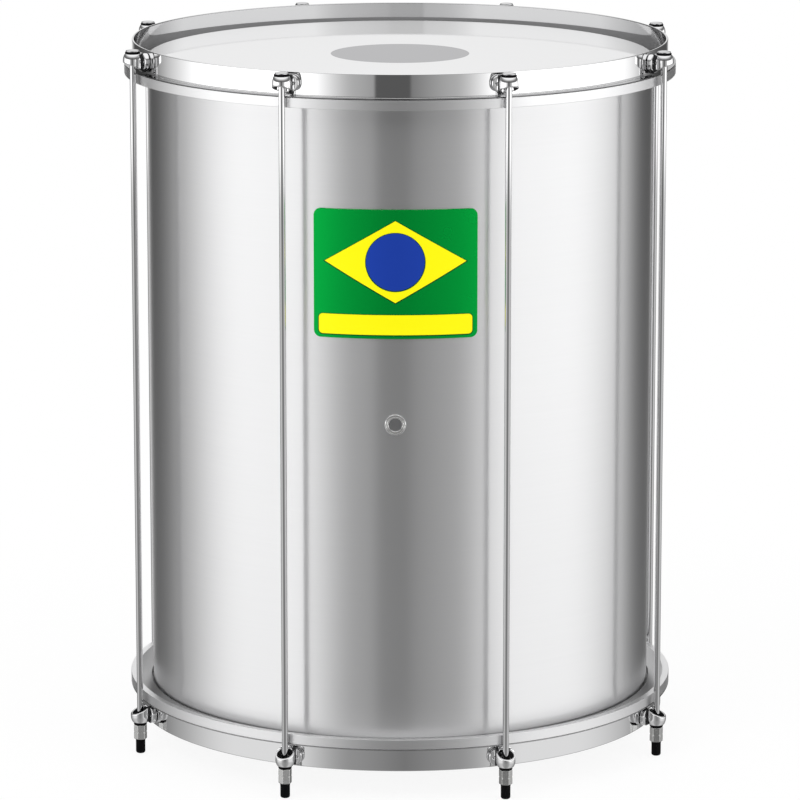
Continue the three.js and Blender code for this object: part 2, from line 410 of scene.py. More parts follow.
@dataclass(frozen=True)
class FilmFinish(Finish):
    """White head film, with a printed disc in its middle where that has a radius.

    Attributes:
        disc_colour: The disc's ink.
        disc_radius: The disc's radius, in metres.
        disc_edge: How wide the ink's edge is, in metres.
        grain_scale: How fine the film's faint texture is, per metre.
        grain_detail: How many finer layers the texture has.
        grain_depth: The texture's depth, in metres.
        collar_painted_shade: How much painted shade darkens the film's collar, where it lies in the shade of
            the hoop.
        collar_radius: Where the collar starts, in metres.
    """

    colour: Colour = (0.78, 0.78, 0.785)
    metallic: float = 0.0
    roughness: float = 0.025
    specular: float = 0.12
    disc_colour: Colour = (0.27, 0.27, 0.28)
    disc_radius: float = 0.0
    disc_edge: float = 0.5 * MM
    grain_scale: float = 900.0
    grain_detail: float = 2.0
    grain_depth: float = 0.004 * MM
    collar_painted_shade: float = 0.6
    collar_radius: float = 216.5 * MM

    def paint(self, bench: Bench, shader: Node) -> None:
        """Colours the film and its disc, and gives it a faint texture.

        Args:
            bench: The material's bench.
            shader: Its Principled BSDF.
        """
        place = bench.add("ShaderNodeTexCoord").outputs["Object"]
        radius = axis_distance(bench)
        bare = bench.step(radius, self.disc_radius - self.disc_edge, self.disc_radius)
        colour = bench.tint(bare, opaque(self.disc_colour), opaque(self.colour))
        # Painted shade: beyond collar_radius the film is darkened to stand for the shade the collar lies in.
        collar = bench.step(radius, self.collar_radius - self.disc_edge, self.collar_radius + self.disc_edge)
        painted_collar_colour = tuple(c * (1 - self.collar_painted_shade) for c in self.colour)
        bench.feed(shader.inputs["Base Color"], bench.tint(collar, colour, opaque(painted_collar_colour)))
        grain = bench.add("ShaderNodeTexNoise", {
            "Vector": place, "Scale": self.grain_scale, "Detail": self.grain_detail})
        relief = bench.add("ShaderNodeBump", {"Height": grain.outputs["Fac"], "Distance": self.grain_depth})
        bench.feed(shader.inputs["Normal"], relief.outputs[0])


@dataclass(frozen=True)
class ChannelFinish(Finish):
    """Satin aluminium of a flesh hoop, with painted shade on the slope that lies in the shade of the shell.

    Attributes:
        slope_painted_shade: The painted shade on the slope.
        slope_radius: Where the slope starts, in metres.
        blur: The softness of its edge, in metres.
    """

    slope_painted_shade: Colour = (0.52, 0.52, 0.525)
    slope_radius: float = 232.2 * MM
    blur: float = 0.1 * MM

    def paint(self, bench: Bench, shader: Node) -> None:
        """Colours the channel by its distance from the axis.

        Args:
            bench: The material's bench.
            shader: Its Principled BSDF.
        """
        super().paint(bench, shader)
        base = shader.inputs["Base Color"]
        radius = axis_distance(bench)
        # Painted shade: inside slope_radius the slope takes the darker colour.
        outside = bench.step(radius, self.slope_radius - self.blur, self.slope_radius + self.blur)
        bench.feed(base, bench.tint(outside, opaque(self.slope_painted_shade), base.links[0].from_socket))


@dataclass(frozen=True)
class HoopFinish(Finish):
    """Chrome of a counterhoop, with painted shade inside the band and on the flange.

    Attributes:
        band_painted_shade: The painted shade inside the band.
        flange_painted_shade: The painted shade on the flange.
        band_radius: The middle of the band's wall, in metres.
        flange_from: Where the flange starts, in metres.
        blur: The softness of both edges, in metres.
    """

    colour: Colour = (0.9, 0.9, 0.905)
    roughness: float = 0.03
    drift: float = 0.03
    cloud_scale: float = 22.0
    band_painted_shade: Colour = (0.7, 0.7, 0.705)
    flange_painted_shade: Colour = (0.2, 0.2, 0.205)
    band_radius: float = 230 * MM
    flange_from: float = 231.25 * MM
    blur: float = 0.1 * MM

    def paint(self, bench: Bench, shader: Node) -> None:
        """Colours the band and the flange by their distance from the axis.

        Args:
            bench: The material's bench.
            shader: Its Principled BSDF.
        """
        radius = axis_distance(bench)

        def beyond(edge: float) -> Socket:
            """Steps from 0 to 1 at a radius."""
            return bench.step(radius, edge - self.blur, edge + self.blur)

        # Painted shade: the inside of the band and the flange are darkened.
        band = bench.tint(beyond(self.band_radius), opaque(self.band_painted_shade), opaque(self.colour))
        colour = bench.tint(beyond(self.flange_from), band, opaque(self.flange_painted_shade))
        bench.feed(shader.inputs["Base Color"], colour)


@dataclass(frozen=True)
class InkFinish(Finish):
    """The printed field of the badge, or a figure on it."""

    metallic: float = 0.5
    roughness: float = 0.24
    drift: float = 0.05
    cloud_scale: float = 40.0
    specular: float = 0.2


@dataclass(frozen=True)
class BlackFinish(Finish):
    """Black nylon or rubber."""

    colour: Colour = (0.004, 0.004, 0.0045)
    metallic: float = 0.0
    specular: float = 0.04


@dataclass(frozen=True)
class Finishes:
    """The finishes of the drum."""

    shell: Finish = Finish("brushed shell aluminium", (0.95, 0.95, 0.955), roughness=0.27, cloud_scale=5.0,
                           line_depth=0.003 * MM, line_shade=0.04, line_along=1600.0, anisotropy=0.95)
    channel: Finish = ChannelFinish("satin hoop aluminium", (0.9, 0.9, 0.905), roughness=0.3, drift=0.04,
                                    line_depth=0.003 * MM, line_shade=0.05)
    hoop: Finish = HoopFinish("hoop chrome")
    # The lower hoop's flange gets a lighter painted shade.
    lower_hoop: Finish = HoopFinish("lower hoop chrome", flange_painted_shade=(0.5, 0.5, 0.505))
    rod: Finish = Finish("rod chrome", (0.68, 0.68, 0.685), roughness=0.015, cloud_scale=60.0)
    claw: Finish = Finish("cast claw chrome", (0.92, 0.92, 0.925), roughness=0.02, drift=0.03,
                          cloud_scale=120.0)
    # Painted shade for the front of the claw's hollow, the corners between cup and head, and the leg.
    claw_painted_shade: Finish = Finish("painted shade inside claw", (0.05, 0.05, 0.052), metallic=0.6,
                                 roughness=0.5, drift=0.2, cloud_scale=200.0)
    steel: Finish = Finish("satin zinc steel", (0.74, 0.74, 0.73), roughness=0.2, drift=0.1,
                           cloud_scale=150.0, line_depth=0.006 * MM, line_shade=0.12, line_along=4000.0)
    eyelet: Finish = Finish("eyelet nickel", (0.97, 0.97, 0.96), roughness=0.06, drift=0.05,
                            cloud_scale=150.0)
    nylon: Finish = BlackFinish("black nylon", roughness=0.35, drift=0.1, cloud_scale=90.0)
    rubber: Finish = BlackFinish("black cap rubber", roughness=0.45, drift=0.15, cloud_scale=110.0)
    green: Finish = InkFinish("badge green print", (0.001, 0.44, 0.058), metallic=0.75, specular=0.1)
    yellow: Finish = InkFinish("badge yellow print", (1.0, 0.94, 0.002), metallic=0.15)
    blue: Finish = InkFinish("badge blue print", (0.02, 0.075, 0.55), metallic=0.55)
    # The dark line round the figures: print all round, with painted shadow below them.
    outline: Finish = InkFinish("badge print outline and painted shadow", (0.001, 0.09, 0.02))
    playing_film: Finish = FilmFinish("white head film", disc_radius=60 * MM)
    lower_film: Finish = FilmFinish("plain head film", collar_painted_shade=0.0)


FINISH = Finishes()


def placed(name: str, data: bpy.types.ID) -> bpy.types.Object:
    """Puts an object in the scene.

    Args:
        name: Its name.
        data: Its mesh, lamp or camera.

    Returns:
        The object.
    """
    thing = bpy.data.objects.new(name, data)
    bpy.context.scene.collection.objects.link(thing)
    return thing


def install(name: str, mesh: Mesh, nodes: Sequence[str] = (), body: str = ROOT) -> None:
    """Puts a finished mesh in the scene as a piece of the drum.

    Args:
        name: The piece's name.
        mesh: Its mesh, in the drum's frame.
        nodes: The frame's nodes that it stands for.
        body: The body that it moves with.
    """
    piece = placed(name, mesh)
    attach(piece, body)
    if nodes:
        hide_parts(*nodes)
    log.info("%s: %d faces on %s", name, len(mesh.polygons), body)


def evaluated(mesh: Mesh, add: Callable[[bpy.types.Object], None]) -> Mesh:
    """Runs modifiers on a mesh and returns the result as a plain mesh.

    Args:
        mesh: The mesh to start from.
        add: Adds the modifiers to a holding object.

    Returns:
        The new mesh.
    """
    holder = placed("holder", mesh)
    add(holder)
    graph = bpy.context.evaluated_depsgraph_get()
    result = bpy.data.meshes.new_from_object(holder.evaluated_get(graph))
    holder.modifiers.clear()
    bpy.data.objects.remove(holder)
    return result


@dataclass(frozen=True)
class Corner:
    """A corner of a turned outline.

    Attributes:
        radius: Its distance from the axis, in metres.
        height: Its height, in metres.
        fillet: The radius that rounds it, in metres.
    """

    radius: float
    height: float
    fillet: float = 0.0


@dataclass(frozen=True)
class Turning:
    """A closed outline turned about the Z axis.

    The outline runs anticlockwise with the radius to the right and the height up. Each fillet is an arc
    with a narrow strip of the flat beside it, which keeps the shading of the flats even.

    Attributes:
        corners: The outline's corners. Where the first and last lie on the axis, it is closed there.
        segments: Facets round the axis.
        arc_steps: Facets in each fillet.
        strip: The width of the strip beside a fillet, in metres.
        most: The most that a fillet takes of half a side.
    """

    corners: Sequence[Corner]
    segments: int = 256
    arc_steps: int = 5
    strip: float = 0.12 * MM
    most: float = 0.9

    def fillet(self, before: Vector, at: Vector, after: Vector, radius: float) -> list[Vector]:
        """Rounds one corner.

        Args:
            before: The corner before it.
            at: The corner.
            after: The corner after it.
            radius: The fillet's radius.

        Returns:
            The points that take the corner's place.
        """
        back, ahead = before - at, after - at
        room = min(back.length, ahead.length) / 2
        back, ahead = back.normalized(), ahead.normalized()
        half_angle = back.angle(ahead) / 2
        reach = min(radius / math.tan(half_angle), room * self.most)
        radius = reach * math.tan(half_angle)
        centre = at + (back + ahead).normalized() * radius / math.sin(half_angle)
        start, stop = at + back * reach - centre, at + ahead * reach - centre
        turn = start.angle_signed(stop)
        points = []
        for step in range(self.arc_steps + 1):
            arm = start.copy()
            arm.rotate(Matrix.Rotation(-turn * step / self.arc_steps, 2))
            points.append(centre + arm)
        if reach + self.strip < room:
            points.insert(0, at + back * (reach + self.strip))
            points.append(at + ahead * (reach + self.strip))
        return points

    def outline(self) -> list[Vector]:
        """Rounds the whole outline.

        Returns:
            The outline's points, with its fillets.
        """
        corners = [Vector((corner.radius, corner.height)) for corner in self.corners]
        points = []
        for index, (at, corner) in enumerate(zip(corners, self.corners)):
            if corner.fillet:
                after = corners[(index + 1) % len(corners)]
                points.extend(self.fillet(corners[index - 1], at, after, corner.fillet))
            else:
                points.append(at)
        return points

    def mesh(self, name: str, finish: Finish, place: Matrix | None = None) -> Mesh:
        """Turns the outline.

        Args:
            name: The mesh's name.
            finish: Its finish.
            place: Where the mesh goes, if not on the Z axis.

        Returns:
            The mesh.
        """
        outline = self.outline()
        on_axis = outline[0].x == 0 and outline[-1].x == 0
        build = bmesh.new()
        rings = []
        for radius, height in outline:
            angles = [2 * math.pi * k / self.segments for k in range(self.segments if radius else 1)]
            places = [(radius * math.cos(angle), radius * math.sin(angle), height) for angle in angles]
            rings.append([build.verts.new(place) for place in places])
        pairs = list(zip(rings, rings[1:]))
        if not on_axis:
            pairs.append((rings[-1], rings[0]))
        for low, high in pairs:
            for k in range(self.segments):
                ahead = (k + 1) % self.segments
                below = [low[k % len(low)], low[ahead % len(low)]]
                above = [high[ahead % len(high)], high[k % len(high)]]
                build.faces.new(list(dict.fromkeys(below + above)))
        mesh = bpy.data.meshes.new(name)
        build.to_mesh(mesh)
        build.free()
        if place:
            mesh.transform(place)
        return polished(mesh, finish)


def polished(mesh: Mesh, finish: Finish) -> Mesh:
    """Shades a mesh smooth between its sharp edges and gives it its finish.

    Args:
        mesh: The mesh.
        finish: Its finish.

    Returns:
        The same mesh.
    """
    mesh.shade_smooth()
    mesh.set_sharp_from_angle(angle=SHARP_ANGLE)
    mesh.materials.clear()
    mesh.materials.append(finish.build())
    return mesh


def flipped(corners: Sequence[Corner]) -> list[Corner]:
    """Returns an outline upside down, still anticlockwise."""
    return [Corner(c.radius, -c.height, c.fillet) for c in reversed(corners)]


@dataclass(frozen=True)
class DrumFrame:
    """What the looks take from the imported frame, in metres.

    The middle is that of the shell, over the floor. All other heights are from there outwards, and where
    both ends have the piece they are the same at both. The foot of a piece is its inner end.
    """

    middle: float
    shell_radius: float
    shell_end: float
    film_outside: float
    flesh_foot: float
    flesh_top: float
    flange_radius: float
    flange_foot: float
    hoop_rim: float
    claw_end: float
    rod_circle: float
    rod_head_top: float
    rod_end: float
    washer_end: float
    nut_foot: float
    nut_end: float
    cap_mouth: float

    @classmethod
    def from_pack(cls) -> DrumFrame:
        """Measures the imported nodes.

        Returns:
            The measures.
        """
        shell_low, shell_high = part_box("shell")
        middle = (shell_low.z + shell_high.z) / 2
        flesh_low, flesh_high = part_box("top_flesh_hoop")
        hoop_low, hoop_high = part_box("top_hoop")
        rod_low, rod_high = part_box("tension_rod_1")
        rod = (rod_low + rod_high) / 2
        nut_low, nut_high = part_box("tuning_nut_1")
        return cls(
            middle=middle,
            shell_radius=shell_high.x,
            shell_end=shell_high.z - middle,
            film_outside=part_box("top_head")[1].z - middle,
            flesh_foot=flesh_low.z - middle,
            flesh_top=flesh_high.z - middle,
            flange_radius=hoop_high.x,
            flange_foot=hoop_low.z - middle,
            hoop_rim=hoop_high.z - middle,
            claw_end=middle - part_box("bottom_claw_1")[0].z,
            rod_circle=math.hypot(rod.x, rod.y),
            rod_head_top=rod_high.z - middle,
            rod_end=middle - rod_low.z,
            washer_end=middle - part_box("bottom_washer_1")[0].z,
            nut_foot=middle - nut_high.z,
            nut_end=middle - nut_low.z,
            cap_mouth=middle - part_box("rubber_cap_1")[1].z,
        )

    def lift(self) -> Matrix:
        """Returns the move from the middle of the drum to its place on the floor."""
        return Matrix.Translation((0, 0, self.middle))

    def fit_ring(self, end: End, name: str, node: str, corners: Sequence[Corner], finish: Finish,
                 slot: Slot) -> None:
        """Turns a ring of one end of the drum and puts it in its place.

        Args:
            end: The end that it goes to.
            name: The piece's name without its end.
            node: The frame's node without its end.
            corners: The outline at the top end, in heights from the middle.
            finish: Its finish.
            slot: Its slot; not used.
        """
        piece_end, node_end = end.value
        outline = corners if end is End.TOP else flipped(corners)
        mesh = Turning(outline).mesh(f"{piece_end}_{name}", finish, self.lift())
        install(f"{piece_end}_{name}", mesh, [f"{node_end}_{node}"])


@dataclass(frozen=True)
class Shell:
    """The rolled sheet with its vent hole.

    Attributes:
        frame: The drum's frame.
        wall: The sheet's thickness.
        bevel: The slant at the bearing edge.
        lip_width: How far the ends turn inwards.
        edge: The fillet of its edges.
        hole_radius: The vent hole.
        hole_margin: Half the height of the band of facets round the hole.
    """

    frame: DrumFrame
    wall: float = 1.5 * MM
    bevel: float = 1.8 * MM
    lip_width: float = 4.2 * MM
    edge: float = 0.3 * MM
    hole_radius: float = 6.3 * MM
    hole_margin: float = 8.2 * MM

    def corners(self) -> list[Corner]:
        """Outlines the upper half of the sheet.

        Returns:
            The outline, from outside to inside.
        """
        outer, inner = self.frame.shell_radius, self.frame.shell_radius - self.wall
        end, lip = self.frame.shell_end, inner - self.lip_width
        return [
            Corner(outer, self.hole_margin),
            Corner(outer, end - self.bevel, self.edge),
            Corner(outer - self.bevel, end, self.edge),
            Corner(lip, end, self.edge),
            Corner(lip, end - self.wall, self.edge),
            Corner(inner, end - self.wall, self.wall),
            Corner(inner, self.hole_margin),
        ]

    def build(self) -> None:
        """Builds the shell and cuts its vent hole."""
        upper = self.corners()
        sheet = Turning([*upper, *flipped(upper)]).mesh("sheet", FINISH.shell)
        start, stop = self.frame.shell_radius - self.lip_width, self.frame.shell_radius + self.wall
        drill = Turning([
            Corner(0, start - self.wall),
            Corner(self.hole_radius, start),
            Corner(self.hole_radius, stop),
            Corner(0, stop),
        ], segments=SMALL_SEGMENTS)
        cutter = placed("drill", drill.mesh("drill", FINISH.shell, TO_FRONT))

        def cut(holder: bpy.types.Object) -> None:
            """Adds the cut to the sheet.

            Args:
                holder: The object of the sheet.
            """
            modifier = holder.modifiers.new("vent", "BOOLEAN")
            modifier.operation = "DIFFERENCE"
            modifier.solver = "EXACT"
            modifier.object = cutter

        mesh = polished(evaluated(sheet, cut), FINISH.shell)
        bpy.data.objects.remove(cutter)
        mesh.transform(self.frame.lift())
        install("rolled_shell", mesh, ["shell"])


@dataclass(frozen=True)
class VentEyelet:
    """The eyelet that lines the vent hole.

    Attributes:
        frame: The drum's frame.
        shell: The shell that it clinches.
        bore_radius: The open bore.
        tube_wall: The thickness of its tube.
        flange_radius: The outer flange.
        inner_flange_radius: The flange inside the shell.
        flange_thickness: The thickness of both flanges.
        groove_radius: The groove between the flange and the rolled lip of the bore.
        groove_depth: The groove's depth.
        groove_half: Half the width of its mouth.
        groove_round: The rounding of its bottom.
        lip_round: The rounding of the rolled lip.
        rim_round: The rounding of the flange outside.
        back_round: The rounding of the flange's back.
        root_round: The fillet between the tube and its flanges.
        inner_round: The rounding of the flange inside, and of the groove's mouth.
        bore_round: The rounding of the bore inside.
        seat: The gap to the shell outside.
        inner_seat: The gap to the shell inside.
        segments: Facets round the bore.
    """

    frame: DrumFrame
    shell: Shell
    bore_radius: float = 5.5 * MM
    tube_wall: float = 0.5 * MM
    flange_radius: float = 8.8 * MM
    inner_flange_radius: float = 8.4 * MM
    flange_thickness: float = 1.2 * MM
    groove_radius: float = 7.15 * MM
    groove_depth: float = 0.9 * MM
    groove_half: float = 0.4 * MM
    groove_round: float = 0.15 * MM
    lip_round: float = 0.84 * MM
    rim_round: float = 0.9 * MM
    back_round: float = 0.2 * MM
    root_round: float = 0.3 * MM
    inner_round: float = 0.4 * MM
    bore_round: float = 0.6 * MM
    seat: float = 0.08 * MM
    inner_seat: float = 0.3 * MM
    segments: int = 64

    def build(self) -> None:
        """Builds the eyelet, bent to the round of the shell."""
        outside = self.frame.shell_radius + self.seat
        face = outside + self.flange_thickness
        inside = self.frame.shell_radius - self.shell.wall - self.inner_seat
        back = inside - self.flange_thickness
        tube = self.bore_radius + self.tube_wall
        corners = [
            Corner(self.bore_radius, back, self.bore_round),
            Corner(self.inner_flange_radius, back, self.inner_round),
            Corner(self.inner_flange_radius, inside, self.inner_round),
            Corner(tube, inside, self.root_round),
            Corner(tube, outside, self.root_round),
            Corner(self.flange_radius, outside, self.back_round),
            Corner(self.flange_radius, face, self.rim_round),
            Corner(self.groove_radius + self.groove_half, face, self.inner_round),
            Corner(self.groove_radius, face - self.groove_depth, self.groove_round),
            Corner(self.groove_radius - self.groove_half, face, self.inner_round),
            Corner(self.bore_radius, face, self.lip_round),
        ]
        place = self.frame.lift() @ TO_FRONT
        mesh = Turning(corners, self.segments).mesh("eyelet", FINISH.eyelet, place)
        for vertex in mesh.vertices:
            vertex.co.y += vertex.co.x ** 2 / (2 * self.frame.shell_radius)
        install("vent_eyelet", mesh, ["vent_grommet"])


@dataclass(frozen=True)
class Badge:
    """The printed plate on the front of the shell: field, rhombus, disc and bare strip.

    Attributes:
        frame: The drum's frame.
        rise: The plate's centre above the middle of the drum.
        width: The plate's width round the shell.
        height: The plate's height.
        corner: The radius of its corners.
        thickness: The plate's thickness.
        relief: How far each printed layer stands on the one below.
        layer_gap: The gap under a layer.
        seat: The gap between the plate and the shell.
        edge: The rounding of its edges.
        edge_steps: Facets in that rounding.
        slice_width: The width of its facets round the shell.
        slice_tolerance: How near a cut an outline's point counts as on it.
        rhombus_width: The rhombus, tip to tip.
        rhombus_height: The rhombus, top to bottom.
        rhombus_lift: The rhombus's centre above the plate's.
        disc_radius: The disc in the rhombus.
        strip_width: The strip's width.
        strip_height: The strip's height.
        strip_drop: The strip's centre below the plate's.
        strip_corner: The radius of the strip's corners.
        line: The width of the dark line printed round each figure.
        shadow_sag: How much wider the line is below, as painted shadow under the figure.
        line_relief: How far the line's layer stands up.
        corner_steps: Facets in a corner.
        disc_steps: Facets round the disc.
    """

    frame: DrumFrame
    rise: float = 126.9 * MM
    width: float = 137 * MM
    height: float = 108.2 * MM
    corner: float = 6 * MM
    thickness: float = 0.9 * MM
    relief: float = 0.2 * MM
    layer_gap: float = 0.02 * MM
    seat: float = 0.3 * MM
    edge: float = 0.25 * MM
    edge_steps: int = 3
    slice_width: float = 2.5 * MM
    slice_tolerance: float = 0.025 * MM
    rhombus_width: float = 117.6 * MM
    rhombus_height: float = 68.6 * MM
    rhombus_lift: float = 10.5 * MM
    disc_radius: float = 24.1 * MM
    strip_width: float = 128 * MM
    strip_height: float = 16.8 * MM
    strip_drop: float = 42.4 * MM
    strip_corner: float = 3.4 * MM
    line: float = 0.7 * MM
    shadow_sag: float = 0.25 * MM
    line_relief: float = 0.1 * MM
    corner_steps: int = 8
    disc_steps: int = 96

    def rounded(self, width: float, height: float, corner: float) -> list[Vector]:
        """Outlines a rectangle with round corners.

        Args:
            width: Its width.
            height: Its height.
            corner: The radius of its corners.

        Returns:
            The outline's points, anticlockwise.
        """
        points = []
        for quarter, (side, up) in enumerate(((1, 1), (-1, 1), (-1, -1), (1, -1))):
            centre = Vector((side * (width / 2 - corner), up * (height / 2 - corner)))
            for step in range(self.corner_steps + 1):
                angle = (quarter + step / self.corner_steps) * math.pi / 2
                points.append(centre + corner * Vector((math.cos(angle), math.sin(angle))))
        return points

    def wrapped(self, name: str, outline: Sequence[Vector], level: float, thickness: float,
                finish: Finish) -> Mesh:
        """Wraps a flat outline round the shell as a thin plate.

        Args:
            name: The mesh's name.
            outline: The outline, as the arc round the shell and the height above the plate's centre.
            level: The height of the plate's back above the shell.
            thickness: The plate's thickness.
            finish: Its finish.

        Returns:
            The mesh in its place.
        """
        build = bmesh.new()
        build.faces.new([build.verts.new((point.x, point.y, 0)) for point in outline])
        reach = max(abs(point.x) for point in outline)
        slices = math.floor(reach / self.slice_width)
        for k in range(-slices, slices + 1):
            everything = [*build.verts, *build.edges, *build.faces]
            bmesh.ops.bisect_plane(build, geom=everything, dist=self.slice_tolerance,
                                   plane_co=(k * self.slice_width, 0, 0), plane_no=(1, 0, 0))
        raised = bmesh.ops.extrude_face_region(build, geom=list(build.faces))["geom"]
        top = [part for part in raised if isinstance(part, bmesh.types.BMVert)]
        bmesh.ops.translate(build, verts=top, vec=(0, 0, thickness))
        bmesh.ops.recalc_face_normals(build, faces=list(build.faces))
        fronts = {part for part in build.faces if part.normal.z > math.cos(SHARP_ANGLE)}
        rim = [edge for edge in build.edges if len(fronts.intersection(edge.link_faces)) == 1]
        round_edge = min(self.edge, thickness / EDGE_PARTS)
        bmesh.ops.bevel(build, geom=rim, offset=round_edge, segments=self.edge_steps, profile=ROUND_PROFILE,
                        affect="EDGES")
        base = self.frame.shell_radius + level
        for vertex in build.verts:
            angle = vertex.co.x / self.frame.shell_radius
            radius = base + vertex.co.z
            rise = self.frame.middle + self.rise + vertex.co.y
            vertex.co = Vector((radius * math.sin(angle), -radius * math.cos(angle), rise))
        mesh = bpy.data.meshes.new(name)
        build.to_mesh(mesh)
        build.free()

        def weigh(holder: bpy.types.Object) -> None:
            """Makes the flat faces rule the shading."""
            holder.modifiers.new("shading", "WEIGHTED_NORMAL").weight = FULL_WEIGHT

        mesh.shade_smooth()
        mesh.materials.append(finish.build())
        return evaluated(mesh, weigh)

    def rhombus(self, grown: float) -> list[Vector]:
        """Outlines the rhombus, grown all round by a width."""
        tip, top = self.rhombus_width / 2, self.rhombus_height / 2
        share = 1 + grown * math.hypot(tip, top) / (tip * top)
        return [Vector((x * share, y * share)) for x, y in ((tip, 0), (0, top), (-tip, 0), (0, -top))]

    def disc(self, grown: float) -> list[Vector]:
        """Outlines the disc, grown all round by a width."""
        turns = [2 * math.pi * k / self.disc_steps for k in range(self.disc_steps)]
        return [(self.disc_radius + grown) * Vector((math.cos(a), math.sin(a))) for a in turns]

    def strip(self, grown: float) -> list[Vector]:
        """Outlines the strip, grown all round by a width."""
        return self.rounded(self.strip_width + 2 * grown, self.strip_height + 2 * grown,
                            self.strip_corner + grown)

    def figure(self, name: str, outline: Callable[[float], list[Vector]], rise: float, level: float,
               finish: Finish) -> None:
        """Prints one figure on its dark line, which is wider below as painted shadow.

        Args:
            name: The figure's name.
            outline: Outlines it, grown by a width.
            rise: Its centre above the plate's.
            level: The height of its layer above the shell.
            finish: Its finish.
        """
        # The dark line is print all round, and its extra width below is painted shadow.
        below = [point + Vector((0, rise - self.shadow_sag)) for point in outline(self.line)]
        front = [point + Vector((0, rise)) for point in outline(0)]
        level_front = level + self.line_relief + self.layer_gap
        line = self.wrapped(f"{name} line", below, level, self.line_relief, FINISH.outline)
        install(f"badge_{name}_line", line)
        install(f"badge_{name}", self.wrapped(name, front, level_front, self.relief, finish))

    def build(self) -> None:
        """Builds the plate and the figures on it."""
        outline = self.rounded(self.width, self.height, self.corner)
        plate = self.wrapped("plate", outline, self.seat, self.thickness, FINISH.green)
        install("badge_plate", plate, ["badge"])
        first = self.seat + self.thickness + self.layer_gap
        second = first + self.line_relief + self.relief + 2 * self.layer_gap
        self.figure("rhombus", self.rhombus, self.rhombus_lift, first, FINISH.yellow)
        self.figure("strip", self.strip, -self.strip_drop, first, FINISH.yellow)
        self.figure("disc", self.disc, self.rhombus_lift, second, FINISH.blue)


@dataclass(frozen=True)
class Head:
    """A drumhead: film, and a collar that slopes to the groove of its flesh hoop and stands in it.

    Attributes:
        frame: The drum's frame.
        hoop: The flesh hoop that holds it.
        thickness: The film's thickness.
        edge_inset: From the outside of the shell to where the film leaves its bearing edge.
        edge_bend: The film's bend over the bearing edge.
        collar_bend: The collar's bend over the lip of the groove.
        foot_gap: From the collar's end to the floor of the groove.
        seat: The gap to the flesh hoop.
    """

    frame: DrumFrame
    hoop: FleshHoop
    thickness: float = 0.5 * MM
    edge_inset: float = 1.5 * MM
    edge_bend: float = 2.2 * MM
    collar_bend: float = 0.5 * MM
    foot_gap: float = 1 * MM
    seat: float = 0.3 * MM

    def corners(self) -> list[Corner]:
        """Outlines the film.

        Returns:
            The outline at the top end.
        """
        half = self.thickness / 2
        edge = self.frame.shell_radius - self.edge_inset
        collar = self.hoop.groove_radius() + self.seat
        foot = self.hoop.groove_floor() + self.foot_gap
        bend = self.frame.flesh_top + self.seat
        outside = self.frame.film_outside
        inside = outside - self.thickness
        return [
            Corner(0, inside),
            Corner(edge, inside, self.edge_bend),
            Corner(collar, bend, self.collar_bend),
            Corner(collar, foot),
            Corner(collar + self.thickness, foot),
            Corner(collar + self.thickness, bend + half, self.collar_bend + half),
            Corner(edge + half, outside, self.edge_bend),
            Corner(0, outside),
        ]

    def build(self, end: End) -> None:
        """Builds the head of one end."""
        finish = FINISH.playing_film if end is End.TOP else FINISH.lower_film
        self.frame.fit_ring(end, "film", "head", self.corners(), finish, Slot.FILM)


@dataclass(frozen=True)
class FleshHoop:
    """The channel that holds a head, open towards the counterhoop.

    Attributes:
        frame: The drum's frame.
        inner_lip: The width of its inner lip.
        groove: The width of its groove.
        outer_lip: The width of its outer lip.
        web: The thickness under the groove.
        face: The width of its flat face, from the outside to where it slopes to the shell.
        slope: How far it slopes.
        edge: The fillet of its edges.
    """

    frame: DrumFrame
    inner_lip: float = 8.2 * MM
    groove: float = 5.9 * MM
    outer_lip: float = 4 * MM
    web: float = 2.4 * MM
    face: float = 5.5 * MM
    slope: float = 4.2 * MM
    edge: float = 0.25 * MM

    def groove_radius(self) -> float:
        """Returns the radius of the groove's inner wall."""
        return self.frame.flange_radius - self.groove - self.outer_lip

    def groove_floor(self) -> float:
        """Returns the height of the groove's floor."""
        return self.frame.flesh_foot + self.web

    def corners(self) -> list[Corner]:
        """Outlines the channel.

        Returns:
            The outline at the top end.
        """
        groove, outer = self.groove_radius(), self.frame.flange_radius
        lip, wall = groove - self.inner_lip, groove + self.groove
        foot, top, floor = self.frame.flesh_foot, self.frame.flesh_top, self.groove_floor()
        face = [(lip, foot + self.slope), (outer - self.face, foot), (outer, foot), (outer, top)]
        grooved = [(wall, top), (wall, floor), (groove, floor), (groove, top), (lip, top)]
        return [Corner(radius, height, self.edge) for radius, height in face + grooved]

    def build(self, end: End) -> None:
        """Builds the channel of one end."""
        self.frame.fit_ring(end, "flesh_channel", "flesh_hoop", self.corners(), FINISH.channel,
                            Slot.FLESH_HOOP)


